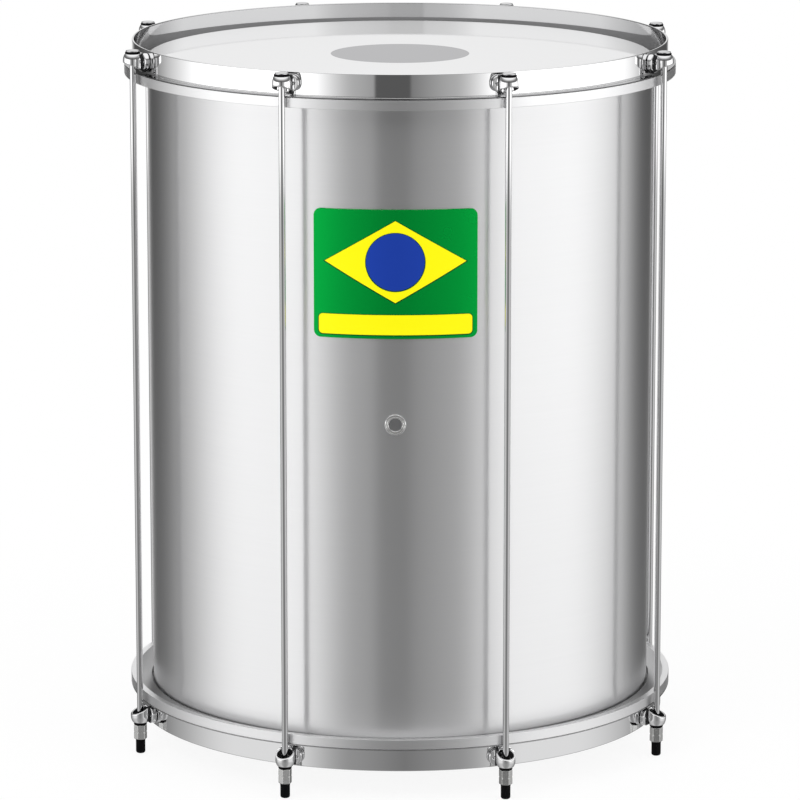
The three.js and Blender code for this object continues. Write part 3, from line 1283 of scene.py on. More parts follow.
@dataclass(frozen=True)
class CounterHoop:
    """The chromed band with its flange.

    Attributes:
        frame: The drum's frame.
        hoop: The flesh hoop that it presses on.
        band_inset: From the inner wall of the flesh hoop's groove to the inside of the band.
        band: The band's thickness.
        flange: The flange's thickness.
        rim_round: The rounding of the rim.
        root_round: The bend between band and flange.
        edge: The fillet of the flange's edge.
    """

    frame: DrumFrame
    hoop: FleshHoop
    band_inset: float = 1.2 * MM
    band: float = 2 * MM
    flange: float = 0.7 * MM
    rim_round: float = 0.8 * MM
    root_round: float = 0.2 * MM
    edge: float = 0.15 * MM

    def corners(self) -> list[Corner]:
        """Outlines the hoop.

        Returns:
            The outline at the top end.
        """
        inner = self.hoop.groove_radius() + self.band_inset
        outer, foot, rim = inner + self.band, self.frame.flange_foot, self.frame.hoop_rim
        return [
            Corner(inner, foot, self.edge),
            Corner(self.frame.flange_radius, foot, self.edge),
            Corner(self.frame.flange_radius, foot + self.flange, self.edge),
            Corner(outer, foot + self.flange, self.root_round),
            Corner(outer, rim, self.rim_round),
            Corner(inner, rim, self.rim_round),
        ]

    def build(self, end: End) -> None:
        """Builds the hoop of one end."""
        finish = FINISH.hoop if end is End.TOP else FINISH.lower_hoop
        self.frame.fit_ring(end, "chrome_hoop", "hoop", self.corners(), finish, Slot.HOOP)


def dressed(bench: Bench, geometry: Socket, finish: Socket) -> Socket:
    """Makes copies real and gives them their finish.

    Args:
        bench: The tree's bench.
        geometry: The geometry.
        finish: The material.

    Returns:
        The finished geometry.
    """
    real = bench.add("GeometryNodeRealizeInstances", {"Geometry": geometry})
    return bench.add("GeometryNodeSetMaterial", {
        "Geometry": real.outputs[0], "Material": finish}).outputs[0]


def run_tree(mesh: Mesh, tree: NodeTree, values: dict[str, object]) -> Mesh:
    """Runs a Geometry Nodes tree on a mesh.

    Args:
        mesh: The mesh to start from.
        tree: The tree.
        values: The tree's inputs, by name.

    Returns:
        The new mesh.
    """
    sockets = {item.name: item.identifier for item in tree.interface.items_tree if item.in_out == "INPUT"}

    def add(holder: bpy.types.Object) -> None:
        """Adds the tree as a modifier and sets its inputs.

        Args:
            holder: The object of the mesh.
        """
        modifier = holder.modifiers.new(tree.name, "NODES")
        modifier.node_group = tree
        for name, value in values.items():
            modifier[sockets[name]] = value

    return evaluated(mesh, add)


def stations_tree() -> NodeTree:
    """Builds the tree that sets copies of a piece on the rods' circle.

    Returns:
        The tree.
    """

    def build(bench: Bench, given: Node) -> Socket:
        """Sets the copies, each turned with its place, and gives them their two finishes.

        Args:
            bench: The tree's bench.
            given: Its input node.

        Returns:
            The copies.
        """
        count, first, offset, circle, front = (
            given.outputs[name] for name in ("Stations", "First", "Offset", "Circle", "Front"))
        index = bench.add("GeometryNodeInputIndex").outputs[0]
        station = bench.math("ADD", bench.math("ADD", index, first), offset)
        turn = bench.math("MULTIPLY", bench.math("DIVIDE", station, count), 2 * math.pi)
        angle = bench.math("ADD", turn, front)
        place = bench.add("ShaderNodeCombineXYZ", {
            "X": bench.math("MULTIPLY", bench.math("COSINE", angle), circle),
            "Y": bench.math("MULTIPLY", bench.math("SINE", angle), circle)})
        points = bench.add("GeometryNodePoints", {
            "Count": given.outputs["Copies"], "Position": place.outputs[0]})
        spin = bench.add("ShaderNodeCombineXYZ", {"Z": angle})
        rotation = bench.add("FunctionNodeEulerToRotation", {"Euler": spin.outputs[0]})
        copies = bench.add("GeometryNodeInstanceOnPoints", {
            "Points": points.outputs[0], "Instance": given.outputs["Geometry"],
            "Rotation": rotation.outputs[0]})
        plated = dressed(bench, copies.outputs[0], given.outputs["Finish"])
        # Faces marked for painted shade get the painted shade finish.
        shaded_faces = bench.add("GeometryNodeInputNamedAttribute", {"Name": SHADED_FACES}, data_type="BOOLEAN")
        return bench.add("GeometryNodeSetMaterial", {
            "Geometry": plated, "Selection": shaded_faces.outputs["Attribute"],
            "Material": given.outputs["Painted Shade Finish"]}).outputs[0]

    return node_group(GroupKind.GEOMETRY, "stations round the drum", {
        "Geometry": "Geometry", "Stations": "Int", "First": "Int", "Copies": "Int", "Offset": "Float",
        "Circle": "Float", "Front": "Float", "Finish": "Material", "Painted Shade Finish": "Material",
    }, "Geometry", build)


def thread_tree() -> NodeTree:
    """Builds the tree that rolls a right-hand thread into a rod on the Z axis.

    Returns:
        The tree.
    """

    def build(bench: Bench, given: Node) -> Socket:
        """Moves the rod's points out to the thread, which fades at both ends.

        Args:
            bench: The tree's bench.
            given: Its input node.

        Returns:
            The threaded rod.
        """
        place = bench.add("GeometryNodeInputPosition").outputs[0]
        parts = bench.add("ShaderNodeSeparateXYZ", {"Vector": place})
        x, y, z = (parts.outputs[axis] for axis in "XYZ")
        turned = bench.math("DIVIDE", bench.math("ARCTAN2", y, x), 2 * math.pi)
        turns = bench.math("DIVIDE", z, given.outputs["Pitch"])
        phase = bench.math("FRACT", bench.math("SUBTRACT", turns, turned))
        slope = bench.math("ABSOLUTE", bench.math("MULTIPLY_ADD", phase, 2.0, -1.0))
        crest = bench.step(slope, given.outputs["Flank From"], given.outputs["Flank To"])
        low = bench.math("SUBTRACT", z, given.outputs["From"])
        high = bench.math("SUBTRACT", given.outputs["To"], z)
        inside = bench.math("DIVIDE", bench.math("MINIMUM", low, high), given.outputs["Run-out"])
        fade = bench.step(inside, 0.0, 1.0)
        height = bench.math("MULTIPLY", bench.math("MULTIPLY", crest, fade), given.outputs["Depth"])
        flat = bench.add("ShaderNodeCombineXYZ", {"X": x, "Y": y})
        outwards = bench.add("ShaderNodeVectorMath", {0: flat.outputs[0]}, operation="NORMALIZE")
        offset = bench.add("ShaderNodeVectorMath", {
            0: outwards.outputs[0], "Scale": height}, operation="SCALE")
        moved = bench.add("GeometryNodeSetPosition", {
            "Geometry": given.outputs["Geometry"], "Offset": offset.outputs[0]})
        return dressed(bench, moved.outputs[0], given.outputs["Finish"])

    return node_group(GroupKind.GEOMETRY, "rolled thread", {
        "Geometry": "Geometry", "Pitch": "Float", "Depth": "Float", "Flank From": "Float",
        "Flank To": "Float", "From": "Float", "To": "Float", "Run-out": "Float", "Finish": "Material",
    }, "Geometry", build)


@dataclass(frozen=True)
class Stations:
    """The places of the tension rods round the drum.

    Attributes:
        frame: The drum's frame.
        count: How many rods the drum has.
        offset: What is added to a rod's number for its place, so that rods 8 and 1 flank the front.
        front: The angle of the front of the drum.
    """

    frame: DrumFrame
    count: int = 8
    offset: float = -0.5
    front: float = -math.pi / 2

    def fit(self, name: str, mesh: Mesh, finish: Finish, slot: Slot, node: str, body: str = "",
            spin: float = 0.0) -> None:
        """Sets a piece, made on the Z axis with the drum towards -X, at every station.

        The copies are one fixed mesh, or each rides on a body of its own. Faces marked for painted shade get
        the painted shade finish of a claw.

        Args:
            name: The piece's name, without its number where each copy has its own body.
            mesh: The mesh of one copy.
            finish: Its finish.
            slot: Its slot; not used.
            node: The frame's nodes without their numbers, or an empty name for none.
            body: The bodies without their numbers, or an empty name where the piece is fixed.
            spin: How much further each moving copy is turned on its rod than the one before it.
        """
        copies = 1 if body else self.count
        for first in range(1, self.count + 1, copies):
            turned = mesh.copy()
            turned.transform(Matrix.Rotation(spin * (first + 1), 4, "Z"))
            made = run_tree(turned, stations_tree(), {
                "Stations": self.count, "First": first, "Copies": copies, "Offset": self.offset,
                "Circle": self.frame.rod_circle, "Front": self.front, "Finish": finish.build(),
                "Painted Shade Finish": FINISH.claw_painted_shade.build()})
            nodes = [f"{node}_{k}" for k in range(first, first + copies) if node]
            if body:
                install(f"{name}_{first}", made, nodes, f"{body}_{first}")
            else:
                install(name, made, nodes)


def smooth_min(a: Array, b: Array, blend: float) -> Array:
    """Joins two distances with a fillet.

    Args:
        a: The first distance.
        b: The second distance.
        blend: The width of the fillet.

    Returns:
        The joined distance.
    """
    share = np.clip(0.5 + 0.5 * (b - a) / blend, 0, 1)
    return b + (a - b) * share - blend * share * (1 - share)


def smooth_max(a: Array, b: Array, blend: float) -> Array:
    """Cuts one distance by another with a rounded edge, as smooth_min does for a join."""
    return -smooth_min(-a, -b, blend)


@dataclass(frozen=True)
class Casting:
    """A solid that is given by a distance, in millimetres, and skinned with even quads.

    Attributes:
        distance: The distance to its surface, below 0 inside.
        low: The lowest corner of the space that holds it.
        high: The highest corner.
        step: The size of a quad.
        hollow: The distance to where the solid's faces are marked for painted shade, if it has such a place.
        settle_rounds: How often the skin is drawn onto the surface.
        fineness: How many times finer than a quad the slope of the surface is probed.
        least_slope: The least squared slope that a move is worked out with.
    """

    distance: Distance
    low: tuple[float, float, float]
    high: tuple[float, float, float]
    step: float
    hollow: Distance | None = None
    settle_rounds: int = 4
    fineness: float = 20.0
    least_slope: float = 0.25

    def skin(self) -> tuple[Array, Array]:
        """Skins the surface.

        Returns:
            The points, and the four points of each face.
        """
        axes = [np.arange(low, high + self.step, self.step) for low, high in zip(self.low, self.high)]
        grid = np.stack(np.meshgrid(*axes, indexing="ij"), axis=-1)
        value = self.distance(grid)
        cells = tuple(count - 1 for count in value.shape)
        total, hits = np.zeros(cells + (3,)), np.zeros(cells)
        faces = []
        orders = ((0, 1, 2), (1, 2, 0), (2, 0, 1))
        for order in orders:
            near = np.moveaxis(value, order, (0, 1, 2))
            places = np.moveaxis(grid, order, (0, 1, 2))
            crossed = (near[:-1] < 0) != (near[1:] < 0)
            share = np.where(crossed, near[:-1] / np.where(crossed, near[:-1] - near[1:], 1), 0)
            point = places[:-1] + share[..., None] * (places[1:] - places[:-1])
            sums = np.moveaxis(total, order, (0, 1, 2))
            counts = np.moveaxis(hits, order, (0, 1, 2))
            for second in (slice(None, -1), slice(1, None)):
                for third in (slice(None, -1), slice(1, None)):
                    counts += crossed[:, second, third]
                    sums += point[:, second, third] * crossed[:, second, third][..., None]
        number = np.full(cells, -1)
        active = hits > 0
        number[active] = np.arange(active.sum())
        for order in orders:
            near = np.moveaxis(value, order, (0, 1, 2))
            numbers = np.moveaxis(number, order, (0, 1, 2))
            crossed = ((near[:-1] < 0) != (near[1:] < 0))[:, 1:-1, 1:-1]
            outwards = (near[:-1] < 0)[:, 1:-1, 1:-1][crossed]
            ring = np.stack([numbers[:, :-1, :-1][crossed], numbers[:, 1:, :-1][crossed],
                             numbers[:, 1:, 1:][crossed], numbers[:, :-1, 1:][crossed]], axis=-1)
            faces.append(np.where(outwards[:, None], ring, ring[:, ::-1]))
        return total[active] / hits[active][:, None], np.concatenate(faces)

    def settled(self, points: Array) -> Array:
        """Draws the skin's points onto the surface.

        Args:
            points: The points.

        Returns:
            The points on the surface.
        """
        probe = self.step / self.fineness
        nudges = np.eye(3) * probe
        for _ in range(self.settle_rounds):
            away = self.distance(points)
            rises = [self.distance(points + nudge) - self.distance(points - nudge) for nudge in nudges]
            slope = np.stack(rises, axis=-1) / (2 * probe)
            steep = np.maximum((slope ** 2).sum(axis=-1), self.least_slope)
            move = slope * (away / steep)[:, None]
            points = points - np.clip(move, -self.step / 2, self.step / 2)
        return points

    def mesh(self, name: str) -> Mesh:
        """Makes the mesh, in metres.

        Args:
            name: The mesh's name.

        Returns:
            The mesh.
        """
        points, faces = self.skin()
        points = self.settled(points)
        mesh = bpy.data.meshes.new(name)
        mesh.from_pydata((points * MM).tolist(), [], faces.tolist())
        mesh.shade_smooth()
        # Faces inside that distance are marked for painted shade.
        if self.hollow:
            deep = self.hollow(points[faces].mean(axis=1)) < 0
            mesh.attributes.new(SHADED_FACES, "BOOLEAN", "FACE").data.foreach_set("value", deep)
        return mesh


@dataclass(frozen=True)
class Claw:
    """The hollow cast claw, in millimetres, on the rod's axis with the drum towards -X.

    Its end face, under the washer, is at z = 0, and its foot on the hoop's flange at z = length.

    Attributes:
        length: From the end face to the foot.
        cup_radius: The cup.
        cup_end_radius: The cup's end face.
        cup_shoulder: How high the cup's shoulder climbs.
        shoulder_round: The rounding of the shoulder.
        cup_wall: The cup's wall.
        cup_floor: The cup's floor.
        front_depth: The cup's height in front.
        head_width: The cross head, ear to ear.
        head_height: The cross head's height.
        head_thickness: The cross head's thickness.
        head_overhang: How far the head stands below the end face.
        head_corner: The radius of the ears.
        ear_slope: How far the ears fall back.
        ear_dimple: The radius of the dimple in each ear.
        ear_dimple_out: How far each dimple lies from the middle.
        leg_width: The leg.
        leg_thickness: The leg's thickness.
        band_gap: From the rod's axis to the back of the claw.
        bore_radius: The rod's hole.
        root: The fillet where cup, head and leg meet.
        round: The rounding of the head's front and the cup's floor.
        lip: The rounding of the cup's mouth.
        edge: The rounding of other edges.
        shade_inset: How far from the cup's hollow its walls get painted shade.
        shade_start: Where the painted shade in the hollow starts, in front of the rod's axis.
        corner_shade_reach: How far the painted shade reaches out of the corner between cup and head.
        facet: The size of its facets.
        margin: How far the space that it is skinned in reaches past it.
    """

    length: float = 15.9
    cup_radius: float = 8.25
    cup_end_radius: float = 6.6
    cup_shoulder: float = 2.2
    shoulder_round: float = 2.2
    cup_wall: float = 1.6
    cup_floor: float = 2.2
    front_depth: float = 7.4
    head_width: float = 23.0
    head_height: float = 14.2
    head_thickness: float = 5.0
    head_overhang: float = 0.5
    head_corner: float = 6.2
    ear_slope: float = 1.3
    ear_dimple: float = 1.2
    ear_dimple_out: float = 7.6
    leg_width: float = 8.5
    leg_thickness: float = 4.2
    band_gap: float = 11.2
    bore_radius: float = 3.25
    root: float = 1.2
    round: float = 0.9
    lip: float = 0.5
    edge: float = 0.5
    shade_inset: float = 0.08
    shade_start: float = -3.5
    corner_shade_reach: float = 1.7
    facet: float = 0.44
    margin: float = 1.0

    def cup(self, x: Array, z: Array, reach: Array) -> Array:
        """Returns the distance to the hollow cup with its slanted mouth.

        Args:
            x: Place towards the front.
            z: Height.
            reach: Distance from the rod's axis.

        Returns:
            The distance.
        """
        top = self.head_height - self.head_overhang
        run = self.cup_radius - self.cup_end_radius
        tilt = math.atan2(run, self.cup_shoulder)
        shoulder = (reach - self.cup_end_radius) * math.cos(tilt) - z * math.sin(tilt)
        outer = smooth_max(reach - self.cup_radius, shoulder, self.shoulder_round)
        outer = smooth_max(outer, -z, self.edge)
        face = self.head_thickness - self.band_gap
        slope = (top - self.front_depth) / (self.cup_radius - face)
        mouth = (z - top + slope * (x - face)) * math.cos(math.atan(slope))
        outer = smooth_max(outer, np.maximum(mouth, z - top), self.lip)
        return smooth_max(outer, -self.hollow(z, reach), self.lip)

    def hollow(self, z: Array, reach: Array) -> Array:
        """Returns the distance to the hollow in the cup.

        Args:
            z: Height.
            reach: Distance from the rod's axis.

        Returns:
            The distance.
        """
        return smooth_max(reach - self.cup_radius + self.cup_wall, self.cup_floor - z, self.round)

    def painted_shade_zone(self, place: Array) -> Array:
        """Returns the distance to where painted shade goes: the front of the hollow, the corners between cup
        and head, and the leg above the head.

        Args:
            place: Points, in millimetres.

        Returns:
            The distance at each point.
        """
        x, y, z = np.moveaxis(place, -1, 0)
        # Painted shade: the hollow's front, the corners by the head, and the leg.
        front = np.maximum(self.hollow(z, np.hypot(x, y)) - self.shade_inset, self.shade_start - x)
        face = self.head_thickness - self.band_gap
        corner = np.hypot(x - face, np.abs(y) - math.sqrt(self.cup_radius ** 2 - face ** 2))
        side = np.maximum(self.leg_width / 2 - self.shade_inset - np.abs(y), self.head_height - self.edge - z)
        return np.minimum(np.minimum(front, corner - self.corner_shade_reach), side)

    def head(self, x: Array, y: Array, z: Array) -> Array:
        """Returns the distance to the cross head with its two ears.

        Args:
            x: Place towards the front.
            y: Place across.
            z: Height.

        Returns:
            The distance.
        """
        centre = self.head_height / 2 - self.head_overhang
        across = np.abs(y) - self.head_width / 2 + self.head_corner
        up = np.abs(z - centre) - self.head_height / 2 + self.head_corner
        oval = np.hypot(np.maximum(across, 0), np.maximum(up, 0)) + np.minimum(np.maximum(across, up), 0)
        oval = oval - self.head_corner
        fall = self.ear_slope * (np.abs(y) / (self.head_width / 2)) ** 2
        front = x + self.band_gap - self.head_thickness + fall
        back = -self.band_gap - x
        head = smooth_max(smooth_max(oval, front, self.round), back, self.edge)
        dimple_x = self.head_thickness - self.band_gap - self.ear_slope / 2
        dimple = np.sqrt((x - dimple_x) ** 2 + (np.abs(y) - self.ear_dimple_out) ** 2 + (z - centre) ** 2)
        return smooth_max(head, self.ear_dimple - dimple, self.edge / 2)

    def distance(self, place: Array) -> Array:
        """Returns the distance to the whole claw.

        Args:
            place: Points, in millimetres.

        Returns:
            The distance at each point.
        """
        x, y, z = np.moveaxis(place, -1, 0)
        reach = np.hypot(x, y)
        leg_from = self.head_height / 2 - self.head_overhang
        leg = smooth_max(np.abs(y) - self.leg_width / 2, x + self.band_gap - self.leg_thickness, self.edge)
        leg = smooth_max(leg, -self.band_gap - x, self.edge / 2)
        leg = smooth_max(leg, z - self.length, self.edge / 2)
        leg = np.maximum(leg, leg_from - z)
        body = smooth_min(self.head(x, y, z), leg, self.root)
        body = smooth_min(body, self.cup(x, z, reach), self.root)
        body = smooth_max(body, -self.band_gap - x, self.edge / 2)
        return smooth_max(body, self.bore_radius - reach, self.edge / 2)

    def mesh(self) -> Mesh:
        """Skins the claw.

        Returns:
            The claw's mesh, in metres.
        """
        side = self.head_width / 2 + self.margin
        low = (-self.band_gap - self.margin, -side, -self.head_overhang - self.margin)
        high = (self.cup_radius + self.margin, side, self.length + self.margin)
        return Casting(self.distance, low, high, self.facet, self.painted_shade_zone).mesh("claw")


@dataclass(frozen=True)
class Nut:
    """The long tuning nut, in millimetres, with its lower end at z = 0.

    Attributes:
        across_flats: The hexagon.
        flats: How many flats it has.
        length: Its length.
        bore_radius: The thread's hole.
        chamfer_lean: The slope of the chamfer at both ends.
        nick_radius: The crimp nicks on its corners, half way up.
        nick_out: How far the nicks lie from the axis.
        edge: The rounding of its corners.
        facet: The size of its facets.
        margin: How far the space that it is skinned in reaches past it.
    """

    across_flats: float = 10.0
    flats: int = 6
    length: float = 12.8
    bore_radius: float = 3.1
    chamfer_lean: float = math.radians(30)
    nick_radius: float = 0.75
    nick_out: float = 6.0
    edge: float = 0.3
    facet: float = 0.28
    margin: float = 1.0

    def distance(self, place: Array) -> Array:
        """Returns the distance to the nut.

        Args:
            place: Points, in millimetres.

        Returns:
            The distance at each point.
        """
        x, y, z = np.moveaxis(place, -1, 0)
        reach = np.hypot(x, y)
        end = np.abs(z - self.length / 2) - self.length / 2
        body = end
        nick = np.full_like(x, np.inf)
        for side in range(self.flats // 2):
            angle = 2 * math.pi * side / self.flats
            flat = np.abs(x * math.cos(angle) + y * math.sin(angle)) - self.across_flats / 2
            body = smooth_max(body, flat, self.edge)
            corner = angle + math.pi / self.flats
            off = np.abs(x * math.cos(corner) + y * math.sin(corner)) - self.nick_out
            aside = x * math.sin(corner) - y * math.cos(corner)
            nick = np.minimum(nick, np.sqrt(off ** 2 + aside ** 2 + (z - self.length / 2) ** 2))
        past_flat = reach - self.across_flats / 2
        cone = past_flat * math.sin(self.chamfer_lean) + end * math.cos(self.chamfer_lean)
        body = smooth_max(body, cone, self.edge)
        body = smooth_max(body, self.nick_radius - nick, self.edge)
        return smooth_max(body, self.bore_radius - reach, self.edge * 2)

    def mesh(self) -> Mesh:
        """Skins the nut.

        Returns:
            The nut's mesh, in metres.
        """
        side = self.across_flats / 2 / math.cos(math.pi / self.flats) + self.margin
        low, high = (-side, -side, -self.margin), (side, side, self.length + self.margin)
        return Casting(self.distance, low, high, self.facet).mesh("nut")


@dataclass(frozen=True)
class TensionRods:
    """The rods, the washers under their heads and the claws at both ends.

    Attributes:
        frame: The drum's frame.
        stations: The places of the rods.
        shank_radius: The plain shank.
        thread_root: The thread's root.
        thread_depth: The thread's height.
        thread_length: The threaded length.
        pitch: The thread's pitch.
        flank: Where the thread's flank starts and ends, as shares of half the pitch.
        thread_rows: Rows of facets in one pitch.
        segments: Facets round the rod.
        head_radius: The head.
        head_height: The head's height.
        head_rim: The height of the head's upright rim.
        dome_steps: Facets from the head's rim to its middle.
        washer_radius: The washer under the head.
        washer_bore: The washer's bore.
        washer_thickness: The washer's thickness.
        gap: The gap under the washer.
    """

    frame: DrumFrame
    stations: Stations
    shank_radius: float = 2.65 * MM
    thread_root: float = 2.5 * MM
    thread_depth: float = 0.45 * MM
    thread_length: float = 30 * MM
    pitch: float = 1 * MM
    flank: tuple[float, float] = (0.1, 0.85)
    thread_rows: int = 6
    segments: int = 28
    head_radius: float = 5.75 * MM
    head_height: float = 1.8 * MM
    head_rim: float = 0.8 * MM
    dome_steps: int = 7
    washer_radius: float = 6.4 * MM
    washer_bore: float = 2.8 * MM
    washer_thickness: float = 1.9 * MM
    gap: float = 0.05 * MM

    def rod_corners(self) -> list[Corner]:
        """Outlines a rod.

        Returns:
            The outline, in heights from the middle of the drum.
        """
        tip, top = -self.frame.rod_end, self.frame.rod_head_top
        foot = top - self.head_height
        rows = round(self.thread_length / self.pitch * self.thread_rows)
        thread = [Corner(self.thread_root, tip + self.thread_length * k / rows) for k in range(rows + 1)]
        rim, rise = foot + self.head_rim, self.head_height - self.head_rim
        angles = [math.pi / 2 * k / self.dome_steps for k in range(1, self.dome_steps)]
        dome = [Corner(self.head_radius * math.cos(a), rim + rise * math.sin(a)) for a in angles]
        return [
            Corner(0, tip),
            *thread,
            Corner(self.shank_radius, tip + self.thread_length + self.pitch),
            Corner(self.shank_radius, foot),
            Corner(self.head_radius, foot, self.head_rim / EDGE_PARTS),
            Corner(self.head_radius, rim),
            *dome,
            Corner(0, top),
        ]

    def build(self) -> None:
        """Builds the rods and the washers under their heads."""
        plain = Turning(self.rod_corners(), self.segments).mesh("rod", FINISH.rod, self.frame.lift())
        thread_from = self.frame.middle - self.frame.rod_end
        rod = run_tree(plain, thread_tree(), {
            "Pitch": self.pitch, "Depth": self.thread_depth, "Flank From": self.flank[0],
            "Flank To": self.flank[1], "From": thread_from, "To": thread_from + self.thread_length,
            "Run-out": self.pitch, "Finish": FINISH.rod.build()})
        self.stations.fit("chrome_tension_rods", rod, FINISH.rod, Slot.ROD, "tension_rod")
        foot = self.frame.rod_head_top - self.head_height - self.gap - self.washer_thickness
        washer = ring(self.washer_bore, self.washer_radius, foot, self.washer_thickness, self.frame.lift())
        self.stations.fit("rod_head_washers", washer, FINISH.nylon, Slot.WASHER, "")


def ring(bore: float, radius: float, foot: float, thickness: float, place: Matrix) -> Mesh:
    """Makes a flat nylon washer with rounded edges.

    Args:
        bore: Its bore radius.
        radius: Its outer radius.
        foot: The height of its lower face.
        thickness: Its thickness.
        place: Where it goes.

    Returns:
        The mesh.
    """
    edge, top = thickness / EDGE_PARTS, foot + thickness
    corners = [
        Corner(bore, foot, edge / 2),
        Corner(radius, foot, edge),
        Corner(radius, top, edge),
        Corner(bore, top, edge / 2),
    ]
    return Turning(corners, SMALL_SEGMENTS).mesh("washer", FINISH.nylon, place)


@dataclass(frozen=True)
class TuningSet:
    """The claws, the lower washers, the nuts and the rubber caps.

    Attributes:
        frame: The drum's frame.
        stations: The places of the rods.
        washer_radius: The lower washer.
        washer_bore: The lower washer's bore.
        cap_radius: The rubber cap.
        cap_bore: The cap's bore.
        cap_floor: The thickness of its tip.
        cap_tip: The rounding of its tip.
        cap_lip: The rounding of its mouth outside.
        cap_bead: How far the bead at its mouth stands out, and the rounding of its other edges.
        cap_bead_height: The height of the bead.
        nut_spin: How much further each nut is turned than the one before it, as tuning leaves them.
    """

    frame: DrumFrame
    stations: Stations
    washer_radius: float = 5.7 * MM
    washer_bore: float = 3.25 * MM
    cap_radius: float = 4.2 * MM
    cap_bore: float = 3.25 * MM
    cap_floor: float = 4.4 * MM
    cap_tip: float = 2 * MM
    cap_lip: float = 0.36 * MM
    cap_bead: float = 0.12 * MM
    cap_bead_height: float = 1.2 * MM
    nut_spin: float = math.radians(17.5)

    def cap(self) -> Mesh:
        """Turns a cap.

        Returns:
            The cap's mesh, with its tip on the floor.
        """
        mouth = self.frame.middle - self.frame.cap_mouth
        body, bead_foot = self.cap_radius - self.cap_bead, mouth - self.cap_bead_height
        corners = [
            Corner(0, 0),
            Corner(body, 0, self.cap_tip),
            Corner(body, bead_foot, self.cap_bead),
            Corner(self.cap_radius, bead_foot + self.cap_bead, self.cap_bead),
            Corner(self.cap_radius, mouth, self.cap_lip),
            Corner(self.cap_bore, mouth, self.cap_bead),
            Corner(self.cap_bore, self.cap_floor, self.cap_bead),
            Corner(0, self.cap_floor),
        ]
        return Turning(corners, SMALL_SEGMENTS).mesh("cap", FINISH.rubber)

    def build(self) -> None:
        """Builds the claws and everything below them."""
        frame, stations = self.frame, self.stations
        lower = Claw().mesh()
        upper = lower.copy()
        upper.transform(Matrix.Translation((0, 0, frame.middle + frame.claw_end)) @ UPSIDE_DOWN)
        lower.transform(Matrix.Translation((0, 0, frame.middle - frame.claw_end)))
        stations.fit("upper_claws", upper, FINISH.claw, Slot.CLAW, "top_claw")
        stations.fit("lower_claw", lower, FINISH.claw, Slot.CLAW, "bottom_claw", "claw_set")

        gap = frame.nut_foot - frame.washer_end
        thickness = frame.nut_foot - frame.claw_end - 2 * gap
        washer = ring(self.washer_bore, self.washer_radius, -frame.washer_end, thickness, frame.lift())
        stations.fit("lower_washer", washer, FINISH.nylon, Slot.WASHER, "bottom_washer", "claw_set")
        stations.fit("rod_end_cap", self.cap(), FINISH.rubber, Slot.CAP, "rubber_cap", "claw_set")

        nut = Nut().mesh()
        nut.transform(Matrix.Translation((0, 0, frame.middle - frame.nut_end)))
        stations.fit("hex_nut", nut, FINISH.steel, Slot.STEEL, "tuning_nut", "nut", self.nut_spin)


@dataclass(frozen=True)
class LightBand:
    """A part of the studio wall, in degrees of bearing from the front.

    Attributes:
        start: Where it starts.
        start_soft: The softness of that edge.
        stop: Where it stops.
        stop_soft: The softness of that edge.
        level: Its brightness.
        lean: How much later it starts for each degree below the studio's lean_from.
        both_sides: True where it lies on both sides of the front.
    """

    start: float
    start_soft: float
    stop: float
    stop_soft: float
    level: float
    lean: float = 0.0
    both_sides: bool = True


@dataclass(frozen=True)
class RiseStep:
    """A change of the studio wall with the rise over the horizon, in degrees.

    Attributes:
        start: Where it starts.
        stop: Where it is complete.
        level: The brightness that it tends to.
        share: How far it goes there.
        dims_only: True where it leaves what is darker already.
    """

    start: float
    stop: float
    level: float
    share: float = 1.0
    dims_only: bool = False


@dataclass(frozen=True)
class Lamp:
    """A soft square lamp.

    Attributes:
        name: Its name.
        place: Where it hangs, in metres.
        size: Its side, in metres.
        power: Its power, in watts.
        mirrored: True where metal shows it.
    """

    name: str
    place: tuple[float, float, float]
    size: float
    power: float
    mirrored: bool = False

    def build(self, aim: Vector) -> None:
        """Hangs the lamp.

        Args:
            aim: What it points at.
        """
        lamp = bpy.data.lights.new(self.name, "AREA")
        lamp.shape = "SQUARE"
        lamp.size = self.size
        lamp.energy = self.power
        holder = placed(self.name, lamp)
        holder.location = self.place
        holder.rotation_euler = (aim - Vector(self.place)).to_track_quat("-Z", "Y").to_euler()
        holder.visible_glossy = self.mirrored


